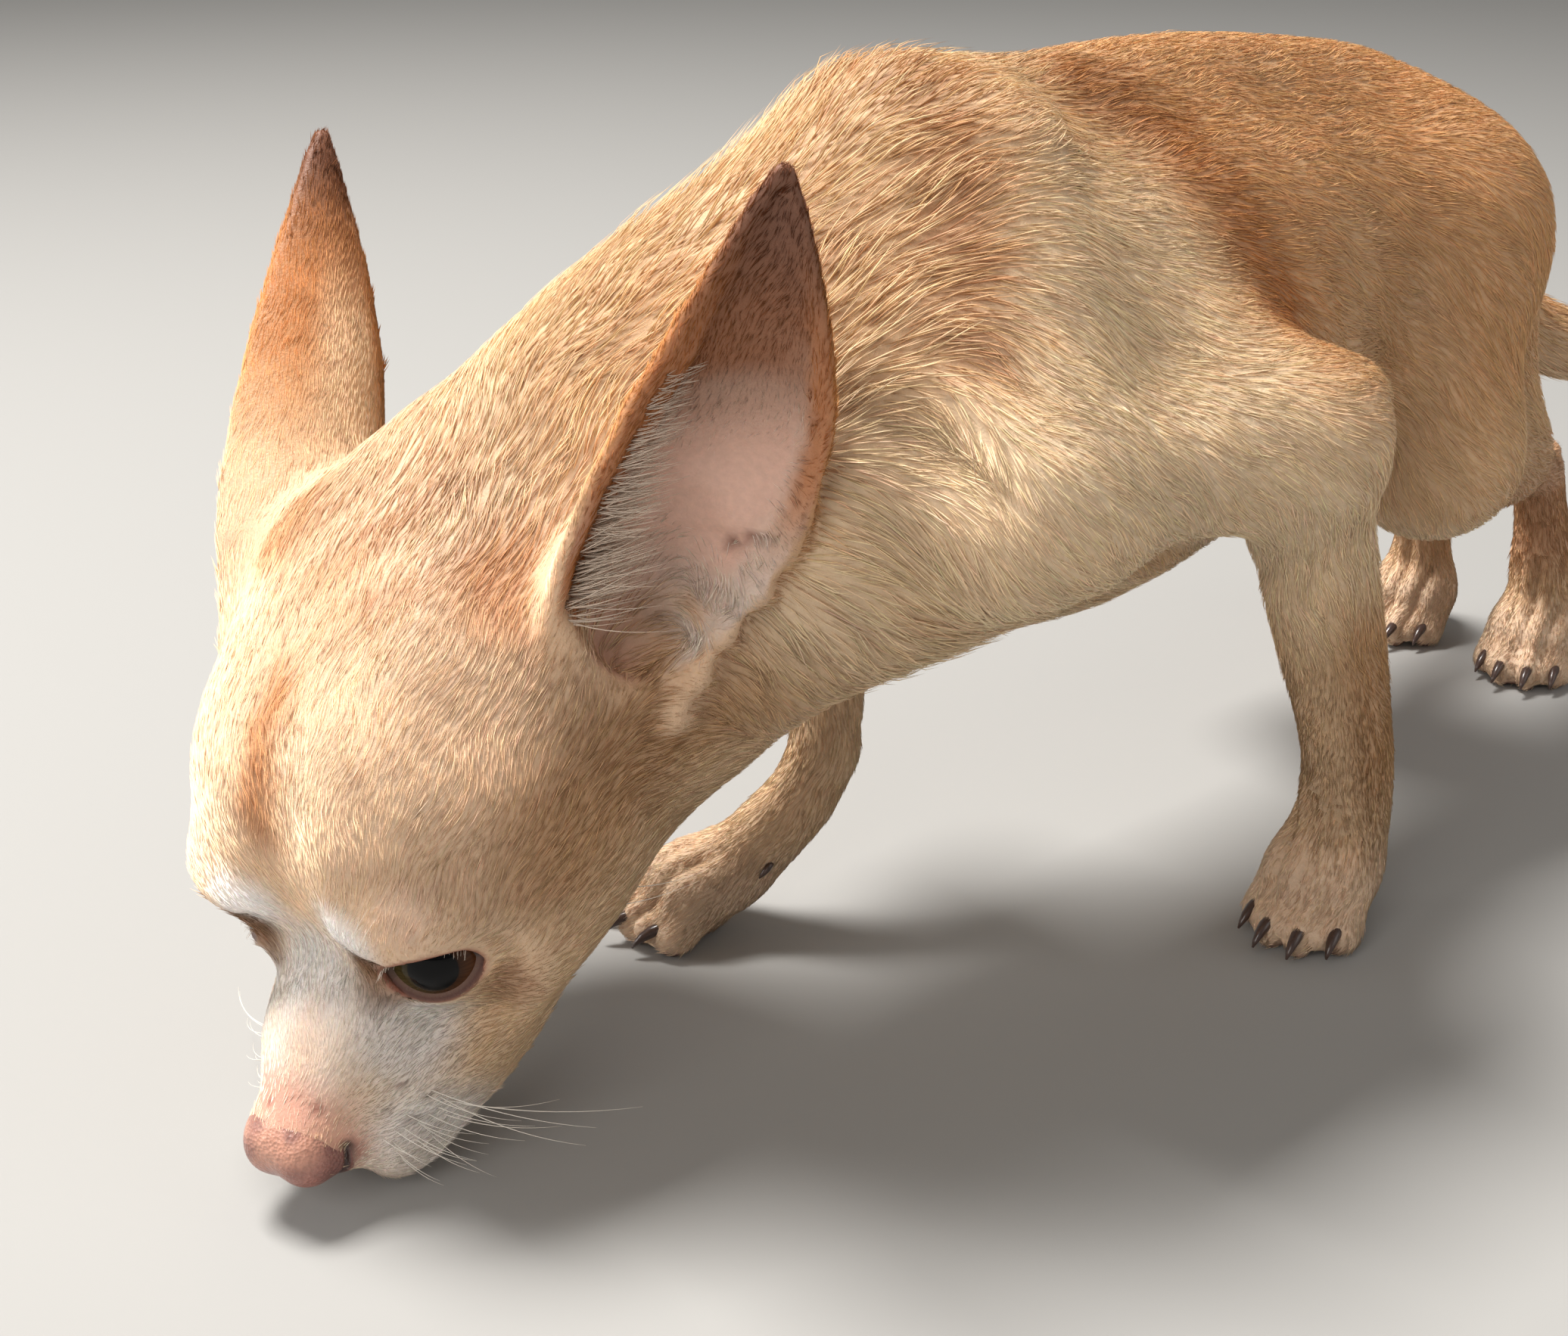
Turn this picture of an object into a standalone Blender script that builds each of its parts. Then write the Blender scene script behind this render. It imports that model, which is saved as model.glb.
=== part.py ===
"""A life-size chihuahua, still, with its nose to the floor, one forepaw forward and its ears up.

The body is one smooth shape given as a distance from its skin. It is meshed, thinned to large
triangles and parted by thin cuts into the pieces that a person would name. The dog faces -X,
its left side is towards -Y, the floor is z = 0, and the middle of its box is over the origin.
"""

import bpy
import numpy as np

for old in list(bpy.data.objects):
    bpy.data.objects.remove(old)

# Sizes, in metres. The withers stand 163 mm high with the head down; a hair's breadth parts the pieces.
GAP = 0.0003
CELL = 0.00140
EAR_CELL = 0.00070
NOSE_CELL = 0.00060
BODY_TRIANGLES = 7600
EAR_TRIANGLES = 900
NOSE_TRIANGLES = 320
CENTRE_SHIFT = np.array([0.00575, -0.0230, 0.0])

MARGIN = 0.015
HEAD_AT = np.array([-0.1602, 0.0329, 0.0412])
HEAD_YAW = np.radians(16.3)
HEAD_PITCH = np.radians(46.3)
HEAD_ROLL = np.radians(-0.7)
HEAD_SIZE = 1.06
EYE_AT = np.array([-0.0008, 0.0131, -0.0006])
EYE_RADIUS = 0.0081
LID = 0.0013
NOSE_AT = np.array([0.0308, 0, -0.0066])
NOSE_RADII = np.array([0.0058, 0.0070, 0.0068])
# Root, tip, and the way the cup faces, for the left ear (1) and the right one (-1), in the head's axes.
EARS = {
    1: np.array([(-0.0496, 0.0341, 0.0167), (-0.0898, 0.0600, 0.0627), (0.655, 0.620, 0.432)]),
    -1: np.array([(-0.0481, -0.0302, 0.0092), (-0.1109, -0.0448, 0.0245), (0.058, -0.987, -0.152)]),
}
EAR_HEIGHTS = (-0.2, 0, 0.12, 0.3, 0.5, 0.7, 0.85, 0.95, 1)
EAR_HALF_WIDTHS = (0.0088, 0.0114, 0.0129, 0.0134, 0.0120, 0.0084, 0.0047, 0.0021, 0.0004)
EAR_DEPTHS = (0.0140, 0.0130, 0.0110, 0.0082, 0.0058, 0.0034, 0.0017, 0.0009, 0.0003)
EAR_LEAN = 0.0
EAR_BULGE = 0.0033
EAR_WALL = 0.0013
SPINE = (
    (-0.080, 0.0000, 0.1490),
    (-0.045, 0.0005, 0.1522),
    (0.000, 0.0020, 0.1505),
    (0.040, 0.0040, 0.1435),
    (0.066, 0.0050, 0.1285),
)
TAIL = (
    (0.070, 0.004, 0.1200),
    (0.087, 0.002, 0.1050),
    (0.107, -0.003, 0.0905),
    (0.129, -0.009, 0.0830),
    (0.151, -0.013, 0.0830),
    (0.170, -0.015, 0.0900),
)
TAIL_RADII = (0.0105, 0.0092, 0.0086, 0.0080, 0.0068, 0.0030)
TOES = (
    (-0.0076, 0.0055, 0.0043),
    (-0.0029, 0.0105, 0.0047),
    (0.0029, 0.0105, 0.0047),
    (0.0076, 0.0055, 0.0043),
)
# The joints of each leg from the top down, the middle of its toes, and the way they point.
LEFT_FORE = {
    "bones": np.array([
        (-0.0740, -0.0120, 0.1480),
        (-0.0850, -0.0290, 0.1060),
        (-0.0345, -0.0400, 0.1050),
        (-0.0250, -0.0435, 0.1115),
        (0.0005, -0.0352, 0.0385),
        (0.0090, -0.0305, 0.0150),
    ]),
    "toes": np.array([0.0030, -0.0310, 0.0080]),
    "heading": np.radians(8),
    "thick": 1.12,
}
RIGHT_FORE = {
    "bones": np.array([
        (-0.0800, 0.0120, 0.1480),
        (-0.0980, 0.0310, 0.1050),
        (-0.0510, 0.0420, 0.0930),
        (-0.0425, 0.0435, 0.0985),
        (-0.0644, 0.0325, 0.0345),
        (-0.0749, 0.0418, 0.0150),
    ]),
    "toes": np.array([-0.0812, 0.0471, 0.0080]),
    "heading": np.radians(-35),
    "thick": 0.90,
}
LEFT_HIND = {
    "bones": np.array([
        (0.0500, -0.0100, 0.1230),
        (0.0470, -0.0185, 0.0800),
        (0.1320, 0.0000, 0.0510),
        (0.1450, 0.0000, 0.0150),
    ]),
    "toes": np.array([0.1410, -0.0010, 0.0080]),
    "heading": np.radians(12),
}
RIGHT_HIND = {
    "bones": np.array([
        (0.0520, 0.0200, 0.1230),
        (0.0560, 0.0310, 0.0800),
        (0.1330, 0.0310, 0.0510),
        (0.1470, 0.0330, 0.0150),
    ]),
    "toes": np.array([0.1430, 0.0320, 0.0080]),
    "heading": np.radians(0),
}
BOX_LOW = np.array([-0.200, -0.075, -0.0040])
BOX_HIGH = np.array([0.190, 0.115, 0.180])


def vec(*parts):
    """A point or a direction as an array."""
    return np.array(parts, float)


def unit(v):
    """The direction of v."""
    return v / np.linalg.norm(v)


def ball(p, centre, radius):
    """Distance from each point to a ball's surface."""
    return np.linalg.norm(p - centre, axis=-1) - radius


def cone(p, a, b, radius_a, radius_b):
    """Distance to a rod from a to b with round ends, whose radius changes evenly."""
    ab = b - a
    t = np.clip(((p - a) @ ab) / (ab @ ab), 0, 1)
    return np.linalg.norm(p - a - t[..., None] * ab, axis=-1) - (radius_a + (radius_b - radius_a) * t)


def oval(p, centre, radii):
    """Near its surface, the distance to an ellipsoid: g(g-1)/h, g = |q/r|, h = |q/r^2|."""
    q = p - np.array(centre, float)
    r = np.array(radii, float)
    g = np.linalg.norm(q / r, axis=-1)
    h = np.linalg.norm(q / (r * r), axis=-1)
    return g * (g - 1) / np.maximum(h, 1e-9)


def blend(a, b, k):
    """The nearer of two shapes, with a fillet where they differ by less than k."""
    h = np.maximum(k - np.abs(a - b), 0) / k
    return np.minimum(a, b) - h * h * k * 0.25


def carve(a, b, k):
    """Shape a with shape b taken out of it, the edge rounded over k."""
    return -blend(-a, b, k)


def limb(p, points, radii, steps=3):
    """Distance to a rod bent smoothly through the points (Catmull-Rom), its radius eased between them."""
    pts = np.array(points, float)
    pts = np.vstack([2 * pts[0] - pts[1], pts, 2 * pts[-1] - pts[-2]])
    rad = np.array([radii[0], *radii, radii[-1]], float)
    t = np.linspace(0, 1, steps + 1)[:, None]
    knots = np.column_stack([pts, rad])
    line = [knots[1:2]]
    for i in range(1, len(knots) - 2):
        a, b, c, d = knots[i - 1 : i + 3]
        bend = 2 * a - 5 * b + 4 * c - d + t * (3 * (b - c) + d - a)
        line.append((b + 0.5 * t * (c - a + t * bend))[1:])
    line = np.concatenate(line)
    rods = [cone(p, a[:3], b[:3], a[3], b[3]) for a, b in zip(line[:-1], line[1:])]
    return np.min(rods, axis=0)


def within(p, centre, reach, shape):
    """shape(p) for the points within reach of centre, and a safe far value for the rest."""
    away = np.linalg.norm(p - centre, axis=-1)
    found = away - reach + MARGIN
    inside = away < reach
    if inside.any():
        found[inside] = shape(p[inside])
    return found


# The head's own axes: x to the nose, y to the dog's left, z to the crown.
def head_axes(yaw, pitch, roll):
    """Columns are the head's x, y and z in the room."""
    cy, cp, cr = np.cos((yaw, pitch, roll))
    sy, sp, sr = np.sin((yaw, pitch, roll))
    about_z = np.array([[cy, -sy, 0], [sy, cy, 0], [0, 0, 1]])
    about_y = np.array([[cp, 0, -sp], [0, 1, 0], [sp, 0, cp]])
    about_x = np.array([[1, 0, 0], [0, cr, -sr], [0, sr, cr]])
    return about_z @ about_y @ about_x @ np.diag([-1.0, -1.0, 1.0])


HEAD_AXES = head_axes(HEAD_YAW, HEAD_PITCH, HEAD_ROLL)


def to_head(p):
    """Room points in the head's axes."""
    return (p - HEAD_AT) @ HEAD_AXES / HEAD_SIZE


def from_head(q):
    """Head points in the room."""
    return HEAD_AT + HEAD_SIZE * np.array(q, float) @ HEAD_AXES.T


def torso(p):
    """Ribcage, belly drawn up to the loin, pelvis, breast, and the ridge of the spine."""
    d = oval(p, (-0.046, 0.000, 0.1110), (0.058, 0.0320, 0.0425))
    d = blend(d, oval(p, (0.008, 0.002, 0.1160), (0.060, 0.0265, 0.0335)), 0.025)
    d = blend(d, oval(p, (0.044, 0.005, 0.1175), (0.032, 0.0230, 0.0280)), 0.018)
    d = blend(d, oval(p, (-0.088, 0.003, 0.1030), (0.026, 0.0245, 0.0275)), 0.020)
    return blend(d, limb(p, SPINE, (0.0090, 0.0080, 0.0080, 0.0080, 0.0080)), 0.012)


def neck(p):
    """The neck's column, its crest, and the throat."""
    column = (vec(-0.078, 0.002, 0.121), vec(-0.106, 0.022, 0.108), from_head((-0.064, -0.001, -0.003)))
    crest = (vec(-0.083, 0.001, 0.1475), vec(-0.105, 0.017, 0.1290), from_head((-0.064, 0, 0.012)))
    throat = (vec(-0.092, 0.003, 0.0970), vec(-0.1050, 0.0245, 0.0700), from_head((-0.040, 0, -0.0250)))
    d = limb(p, column, (0.0300, 0.0260, 0.0240))
    d = blend(d, limb(p, crest, (0.0110, 0.0110, 0.0120)), 0.014)
    return blend(d, limb(p, throat, (0.0200, 0.0210, 0.0186)), 0.016)


def skull(q):
    """The domed cranium, brows, cheekbones and the big chewing muscle, on both sides."""
    d = oval(q, (-0.0385, 0, 0.0010), (0.0360, 0.0345, 0.0310))
    d = blend(d, oval(q, (-0.0175, 0, 0.0075), (0.0225, 0.0280, 0.0235)), 0.010)
    for s in (1, -1):
        d = blend(d, oval(q, (-0.0025, s * 0.0145, 0.0096), (0.0085, 0.0090, 0.0066)), 0.007)
        d = blend(d, oval(q, (-0.0170, s * 0.0220, -0.0080), (0.0220, 0.0095, 0.0100)), 0.012)
        d = blend(d, oval(q, (-0.0300, s * 0.0160, -0.0158), (0.0200, 0.0092, 0.0136)), 0.014)
    return d


def muzzle(q):
    """Bridge, cheeks of the muzzle, upper lips, and the lower jaw."""
    d = oval(q, (0.0060, 0, -0.0095), (0.0220, 0.0155, 0.0125))
    d = blend(d, cone(q, vec(0.004, 0, -0.0072), vec(0.0270, 0, -0.0072), 0.0092, 0.0066), 0.008)
    for s in (1, -1):
        d = blend(d, oval(q, (0.0165, s * 0.0080, -0.0170), (0.0156, 0.0078, 0.0100)), 0.005)
        d = blend(d, oval(q, (-0.0020, s * 0.0135, -0.0165), (0.0190, 0.0088, 0.0110)), 0.008)
    jaw_bones = ((-0.036, 0, -0.0245), (-0.006, 0, -0.0262), (0.0165, 0, -0.0222))
    jaw = limb(q, jaw_bones, (0.0132, 0.0118, 0.0080))
    return blend(d, jaw, 0.005)


def head(p):
    """Skull and muzzle, with the stop between them, and each eye's bulge in its socket."""
    q = to_head(p)
    d = blend(skull(q), muzzle(q), 0.008)
    d = carve(d, cone(q, vec(0.0100, 0, 0.0150), vec(-0.0120, 0, 0.0375), 0.0040, 0.0030), 0.008)
    for s in (1, -1):
        m = q * vec(1, s, 1)
        root = EARS[s][0]
        d = blend(d, ball(q, root * vec(1, 0.70, 0.55), 0.0125), 0.010)
        d = carve(d, ball(m, EYE_AT + vec(0.0080, 0.0080, -0.0010), 0.0060), 0.008)
        d = blend(d, ball(m, EYE_AT, EYE_RADIUS + LID), 0.0045)
    return d * HEAD_SIZE


def bow(x, y, half, sag):
    """Distance in a plane from an arc: middle at the origin, ends half to each side and sag up."""
    radius = (half * half + sag * sag) / (2 * sag)
    turn = np.arctan2(np.abs(x), radius - y)
    ends = np.hypot(np.abs(x) - half, y - sag)
    return np.where(turn <= 2 * np.arctan2(sag, half), np.abs(np.hypot(x, radius - y) - radius), ends)


def ear_axes(side):
    """Root, length, and the ear's axes: across it, out of its cup, and up to its tip."""
    root, tip, out = EARS[side]
    up = unit(tip - root)
    out = unit(out - (out @ up) * up)
    return root, np.linalg.norm(tip - root), np.stack([np.cross(up, out) * side, out, up], axis=1)


def ear(p, side):
    """A leaf of skin bowed into a cup: wide and deep at the root, narrow and flat at the tip."""
    root, length, axes = ear_axes(side)
    x, y, z = np.moveaxis((to_head(p) - root) @ axes, -1, 0)
    t = z / length
    half = np.interp(t, EAR_HEIGHTS, EAR_HALF_WIDTHS)
    sag = np.interp(t, EAR_HEIGHTS, EAR_DEPTHS)
    arch = np.sin(np.pi * np.clip(t, 0, 1))
    gap = bow(x - EAR_BULGE * arch, y + sag - 0.004 + EAR_LEAN * arch, half, sag)
    past = np.maximum(z - length, 0) + np.maximum(-0.016 - z, 0)
    half_wall = EAR_WALL - 0.0004 * np.clip(t, 0, 1)
    return (np.hypot(gap, past) / 1.08 - half_wall) * HEAD_SIZE


def ear_hollow(p, side):
    """The room inside the cup, down to the pit at its root."""
    root, length, axes = ear_axes(side)
    q = (to_head(p) - root) @ axes
    return oval(q, (0.0010, 0.0010, 0.0060), (0.0098, 0.0078, 0.0170)) * HEAD_SIZE


def foreleg(p, leg):
    """Shoulder blade, upper arm, elbow, forearm and pastern."""
    blade, shoulder, elbow, point, wrist, heel = leg["bones"]
    thick = leg["thick"]
    forearm = (elbow, elbow * 0.55 + wrist * 0.45, wrist, heel)
    d = limb(p, forearm, (0.0106, 0.0092 * thick, 0.0079 * thick, 0.0084 * thick))
    d = blend(d, cone(p, shoulder, elbow, 0.0150, 0.0100), 0.012)
    d = blend(d, cone(p, elbow, point, 0.0062, 0.0036), 0.006)
    d = blend(d, cone(p, blade, shoulder, 0.0085, 0.0140), 0.014)
    behind = blade + vec(0.019, 0.30 * (shoulder[1] - blade[1]), -0.022)
    d = blend(d, cone(p, behind, elbow + vec(-0.002, 0, 0.002), 0.0100, 0.0090), 0.016)
    # The knob behind the wrist.
    return blend(d, ball(p, wrist + vec(0.0055, 0, 0.001), 0.0040), 0.004)


def hindleg(p, leg):
    """Thigh, knee, shank with its long tendon, heel bone and hind pastern."""
    hip, knee, hock, heel = leg["bones"]
    calf = knee * 0.5 + hock * 0.5
    d = limb(p, (knee, calf, hock, heel), (0.0135, 0.0098, 0.0068, 0.0076))
    d = blend(d, cone(p, hip, knee, 0.0205, 0.0150), 0.014)
    d = blend(d, cone(p, hip + vec(0.014, 0, -0.008), calf + vec(0.004, 0, 0.006), 0.0150, 0.0075), 0.016)
    return blend(d, cone(p, hock, hock + vec(0.0050, 0, 0.0050), 0.0052, 0.0034), 0.004)


def paw(p, leg):
    """Four toes fanned round the pad, the sole flat on the floor."""
    c, s = np.cos(leg["heading"]), np.sin(leg["heading"])
    forward, left = vec(-c, -s, 0), vec(s, -c, 0)
    at = leg["toes"]
    d = oval(p, at + vec(0, 0, 0.0025), (0.0102, 0.0102, 0.0080))
    d = blend(d, oval(p, at + forward * 0.0010 + vec(0, 0, -0.0034), (0.0064, 0.0070, 0.0050)), 0.0015)
    for spread, reach, radius in TOES:
        root = at + left * spread * 0.7 + vec(0, 0, 0.0025)
        tip = at + left * spread + forward * reach + vec(0, 0, radius - 0.0087)
        d = blend(d, cone(p, root, tip, 0.0052, radius), 0.0020)
    return d


def trunk(p):
    """The whole animal but for its ears: below nought inside it, in metres."""
    d = torso(p)
    d = blend(d, neck(p), 0.018)
    for leg in (LEFT_FORE, RIGHT_FORE):
        middle = leg["bones"][2] + vec(-0.02, 0, -0.03)
        d = blend(d, within(p, middle, 0.125, lambda q: foreleg(q, leg)), 0.010)
    for leg in (LEFT_HIND, RIGHT_HIND):
        middle = leg["bones"][1] + vec(0.04, 0, -0.01)
        d = blend(d, within(p, middle, 0.115, lambda q: hindleg(q, leg)), 0.012)
    middle = vec(0.120, -0.006, 0.100)
    d = blend(d, within(p, middle, 0.095, lambda q: limb(q, TAIL, TAIL_RADII)), 0.010)
    d = blend(d, within(p, from_head((-0.02, 0, -0.005)), 0.090, head), 0.012)
    for leg in (LEFT_FORE, RIGHT_FORE, LEFT_HIND, RIGHT_HIND):
        d = blend(d, within(p, leg["toes"], 0.036, lambda q: paw(q, leg)), 0.006)
    return d


def middle_of_ear(side):
    """A point halfway up the ear, in the room."""
    return from_head((EARS[side][0] + EARS[side][1]) / 2)


def body(p):
    """The animal without its ears, with the pit where each ear opens, the soles flat on the floor."""
    d = trunk(p)
    for side in (1, -1):
        d = carve(d, within(p, middle_of_ear(side), 0.066, lambda q: ear_hollow(q, side)), 0.004)
    return np.maximum(d, -p[..., 2])


def loose_ear(p, side):
    """One ear, ending a gap's width above the skin of the head."""
    return carve(ear(p, side), body(p) - GAP - 0.0003, 0.0012)


def dog(p):
    """The whole animal with its ears grown out of the head."""
    d = body(p)
    for side in (1, -1):
        d = blend(d, within(p, middle_of_ear(side), 0.066, lambda q: ear(q, side)), 0.004)
    return d


# Where thin plates part the body: a point in the limb, the way it runs, and how far to look for skin.
def along(leg, i, j, t):
    """A point between two joints of a leg, and the way from one to the other."""
    a, b = leg["bones"][i], leg["bones"][j]
    return a * (1 - t) + b * t, b - a


CUTS = (
    (from_head((-0.060, 0, -0.006)), vec(-0.68, 0.23, -0.69), 0.055),
    (vec(-0.098, 0.016, 0.112), vec(-0.83, 0.50, -0.26), 0.056),
    (vec(0.113, -0.0045, 0.0883), vec(0.86, -0.20, -0.42), 0.018),
    (*along(LEFT_FORE, 2, 4, 0.42), 0.018),
    (*along(RIGHT_FORE, 2, 4, 0.36), 0.018),
    (*along(LEFT_FORE, 4, 5, 0.35), 0.018),
    (*along(RIGHT_FORE, 4, 5, 0.35), 0.018),
    (*along(LEFT_HIND, 1, 2, 0.65), 0.025),
    (*along(RIGHT_HIND, 1, 2, 0.60), 0.025),
    (*along(LEFT_HIND, 2, 3, 0.40), 0.018),
    (*along(RIGHT_HIND, 2, 3, 0.40), 0.018),
)


# From the distance to a mesh.
def gradient(shape, p, step=0.0002):
    """The direction in which the distance grows, from four samples."""
    corners = np.array([(1, -1, -1), (-1, -1, 1), (-1, 1, -1), (1, 1, 1)], float)
    return sum(c * shape(p + step * c)[:, None] for c in corners) / (4 * step)


def onto_skin(shape, p, turns=4):
    """Each point moved along the gradient until its distance is nought."""
    for _ in range(turns):
        g = gradient(shape, p)
        d = shape(p)
        p = p - np.clip(d / np.maximum((g * g).sum(1), 0.2), -0.0006, 0.0006)[:, None] * g
    return p


def sampled(shape, low, counts, cell, block=8):
    """The distance on a grid, worked out only in blocks near the skin."""
    coarse = [(n + block - 1) // block for n in counts]
    middles = [low[i] + cell * (np.arange(coarse[i]) * block + block / 2) for i in range(3)]
    at = np.stack(np.meshgrid(*middles, indexing="ij"), axis=-1).reshape(-1, 3)
    far = shape(at).reshape(coarse)
    values = np.where(far < 0, -1.0, 1.0)
    for axis in range(3):
        values = np.repeat(values, block, axis=axis)
    values = values[: counts[0], : counts[1], : counts[2]].copy()
    near = np.argwhere(np.abs(far) < cell * block * 1.6) * block
    offsets = np.stack(np.meshgrid(*[np.arange(block)] * 3, indexing="ij"), axis=-1).reshape(-1, 3)
    cells = (near[:, None] + offsets).reshape(-1, 3)
    cells = cells[(cells < counts).all(axis=1)]
    for some in np.array_split(cells, max(1, len(cells) // 200000)):
        values[tuple(some.T)] = shape(low + cell * some)
    return values


def bridged(values, turns=4):
    """The grid with all four corners inside where a square's two inside ones are on its diagonal."""
    for _ in range(turns):
        for axes in ((0, 1), (1, 2), (2, 0)):
            steps = [np.eye(3, dtype=int)[axis] for axis in axes]
            corners = [a * steps[0] + b * steps[1] for a, b in ((0, 0), (1, 1), (1, 0), (0, 1))]
            ends = [[n - 1 if i in axes else n for i, n in enumerate(values.shape)]] * 4
            views = [
                values[tuple(slice(c[i], c[i] + e[i]) for i in range(3))]
                for c, e in zip(corners, ends)
            ]
            a, b, c, d = [view < 0 for view in views]
            torn = (a == b) & (c == d) & (a != c)
            for view in views:
                view[torn] = np.minimum(view[torn], -1e-6)
    return values


def surface(shape, low, high, cell):
    """Points and four-sided faces round the grid cells that the skin passes through (surface nets)."""
    counts = np.ceil((high - low) / cell).astype(int) + 1
    values = bridged(sampled(shape, low, counts, cell))
    inside = values < 0
    crossings, corners, turned = [], [], []
    for axis in range(3):
        step = np.eye(3, dtype=int)[axis]
        here = inside[tuple(slice(0, counts[i] - step[i]) for i in range(3))]
        there = inside[tuple(slice(step[i], None) for i in range(3))]
        edges = np.argwhere(here != there)
        edges = edges[(edges > 0).all(axis=1)]
        a = values[tuple(edges.T)]
        b = values[tuple((edges + step).T)]
        point = edges + (a / (a - b))[:, None] * step
        u, v = np.eye(3, dtype=int)[(axis + 1) % 3], np.eye(3, dtype=int)[(axis + 2) % 3]
        ring = np.stack([edges, edges - u, edges - u - v, edges - v], axis=1).reshape(-1, 3)
        crossings.append(np.repeat(point, 4, axis=0))
        corners.append((ring[:, 0] * counts[1] + ring[:, 1]) * counts[2] + ring[:, 2])
        turned.append(a < 0)
    crossings, corners = np.concatenate(crossings), np.concatenate(corners)
    turned = np.concatenate(turned)
    _, index = np.unique(corners, return_inverse=True)
    share = np.bincount(index)
    points = np.stack([np.bincount(index, crossings[:, i]) / share for i in range(3)], axis=1)
    faces = index.reshape(-1, 4)
    faces[turned] = faces[turned][:, ::-1]
    return low + cell * points, faces[:, ::-1]


# Meshes, their parts, and Booleans.
def put(name, points, faces, material):
    """A mesh object of these points and faces, its origin at its middle."""
    points = np.asarray(points, float)
    middle = (points.min(axis=0) + points.max(axis=0)) / 2
    mesh = bpy.data.meshes.new(name)
    mesh.from_pydata((points - middle).tolist(), [], [list(map(int, face)) for face in faces])
    mesh.materials.append(material)
    made = bpy.data.objects.new(name, mesh)
    made.location = middle
    bpy.context.scene.collection.objects.link(made)
    return made


def taken(thing):
    """Points in the room and triangles of an object with its modifiers applied. The object goes."""
    bpy.context.view_layer.update()
    shown = thing.evaluated_get(bpy.context.evaluated_depsgraph_get())
    mesh = shown.to_mesh()
    mesh.calc_loop_triangles()
    points = np.empty(len(mesh.vertices) * 3)
    mesh.vertices.foreach_get("co", points)
    faces = np.empty(len(mesh.loop_triangles) * 3, np.int32)
    mesh.loop_triangles.foreach_get("vertices", faces)
    world = np.array(shown.matrix_world)
    points = points.reshape(-1, 3) @ world[:3, :3].T + world[:3, 3]
    shown.to_mesh_clear()
    bpy.data.objects.remove(thing)
    return points, faces.reshape(-1, 3)


def pieces(points, faces):
    """The separate closed surfaces of a mesh, as (points, faces) pairs, the largest first."""
    ends = np.sort(np.concatenate([faces[:, [0, 1]], faces[:, [1, 2]], faces[:, [2, 0]]]), axis=1)
    _, edge, share = np.unique(ends, axis=0, return_inverse=True, return_counts=True)
    order = np.argsort(edge.ravel(), kind="stable")
    pairs = order[share[edge.ravel()[order]] == 2].reshape(-1, 2) % len(faces)
    label = np.arange(len(faces))
    while True:
        low = label[pairs].min(axis=1)
        after = label.copy()
        for k in range(2):
            np.minimum.at(after, pairs[:, k], low)
        after = after[after]
        if (after == label).all():
            break
        label = after
    found = []
    for mark in np.unique(label):
        kept, index = np.unique(faces[label == mark], return_inverse=True)
        found.append((points[kept], index.reshape(-1, 3)))
    return sorted(found, key=lambda piece: -len(piece[1]))


def thinned(shape, low, high, cell, triangles):
    """The largest closed surface of a shape, drawn onto its skin, with about this many triangles."""
    points, faces = surface(shape, low, high, cell)
    whole = put("whole", onto_skin(shape, points), faces, COAT)
    step = whole.modifiers.new("thin", "DECIMATE")
    step.ratio = triangles / (2 * len(faces))
    points, faces = pieces(*taken(whole))[0]
    # The soles are one flat.
    points[:, 2] = np.where(points[:, 2] < 0.0003, 0, points[:, 2])
    return points, faces


def closed(faces):
    """Whether each edge is shared by two triangles, one each way."""
    ends = np.concatenate([faces[:, [0, 1]], faces[:, [1, 2]], faces[:, [2, 0]]])
    there = ends[:, 0] * (faces.max() + 1) + ends[:, 1]
    back = ends[:, 1] * (faces.max() + 1) + ends[:, 0]
    return len(np.unique(there)) == len(there) and (np.sort(there) == np.sort(back)).all()


def boolean(points, faces, cutters, operation="DIFFERENCE"):
    """The mesh with each cutter (points, faces) taken out of it or joined to it, one after another."""
    for cut_points, cut_faces in cutters:
        for solver in ("EXACT", "MANIFOLD"):
            thing = put("thing", points, faces, COAT)
            cutter = put("cutter", cut_points, cut_faces, COAT)
            step = thing.modifiers.new("step", "BOOLEAN")
            step.operation = operation
            step.solver = solver
            step.object = cutter
            made = taken(thing)
            bpy.data.objects.remove(cutter)
            if closed(made[1]):
                break
        points, faces = made
    return points, faces


def prism(outline, low, high):
    """A closed prism of a flat outline (n, 3), moved by low and by high, its faces pointing out."""
    n = len(outline)
    points = np.concatenate([outline + low, outline + high])
    ring = np.arange(n)
    sides = np.stack([ring, (ring + 1) % n, (ring + 1) % n + n, ring + n], axis=1)
    return outward(points, [ring[::-1].tolist(), (ring + n).tolist(), *sides.tolist()])


def outward(points, faces):
    """The same mesh, turned round if it faces in."""
    triangles = np.array([(f[0], f[i], f[i + 1]) for f in faces for i in range(1, len(f) - 1)])
    if np.linalg.det(points[triangles]).sum() < 0:
        faces = [face[::-1] for face in faces]
    return points, faces


def sideways(normal):
    """Two directions square to this one and to each other."""
    normal = unit(normal)
    first = unit(np.cross(normal, (0, 0, 1) if abs(normal[2]) < 0.9 else (1, 0, 0)))
    return first, np.cross(normal, first)


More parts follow.
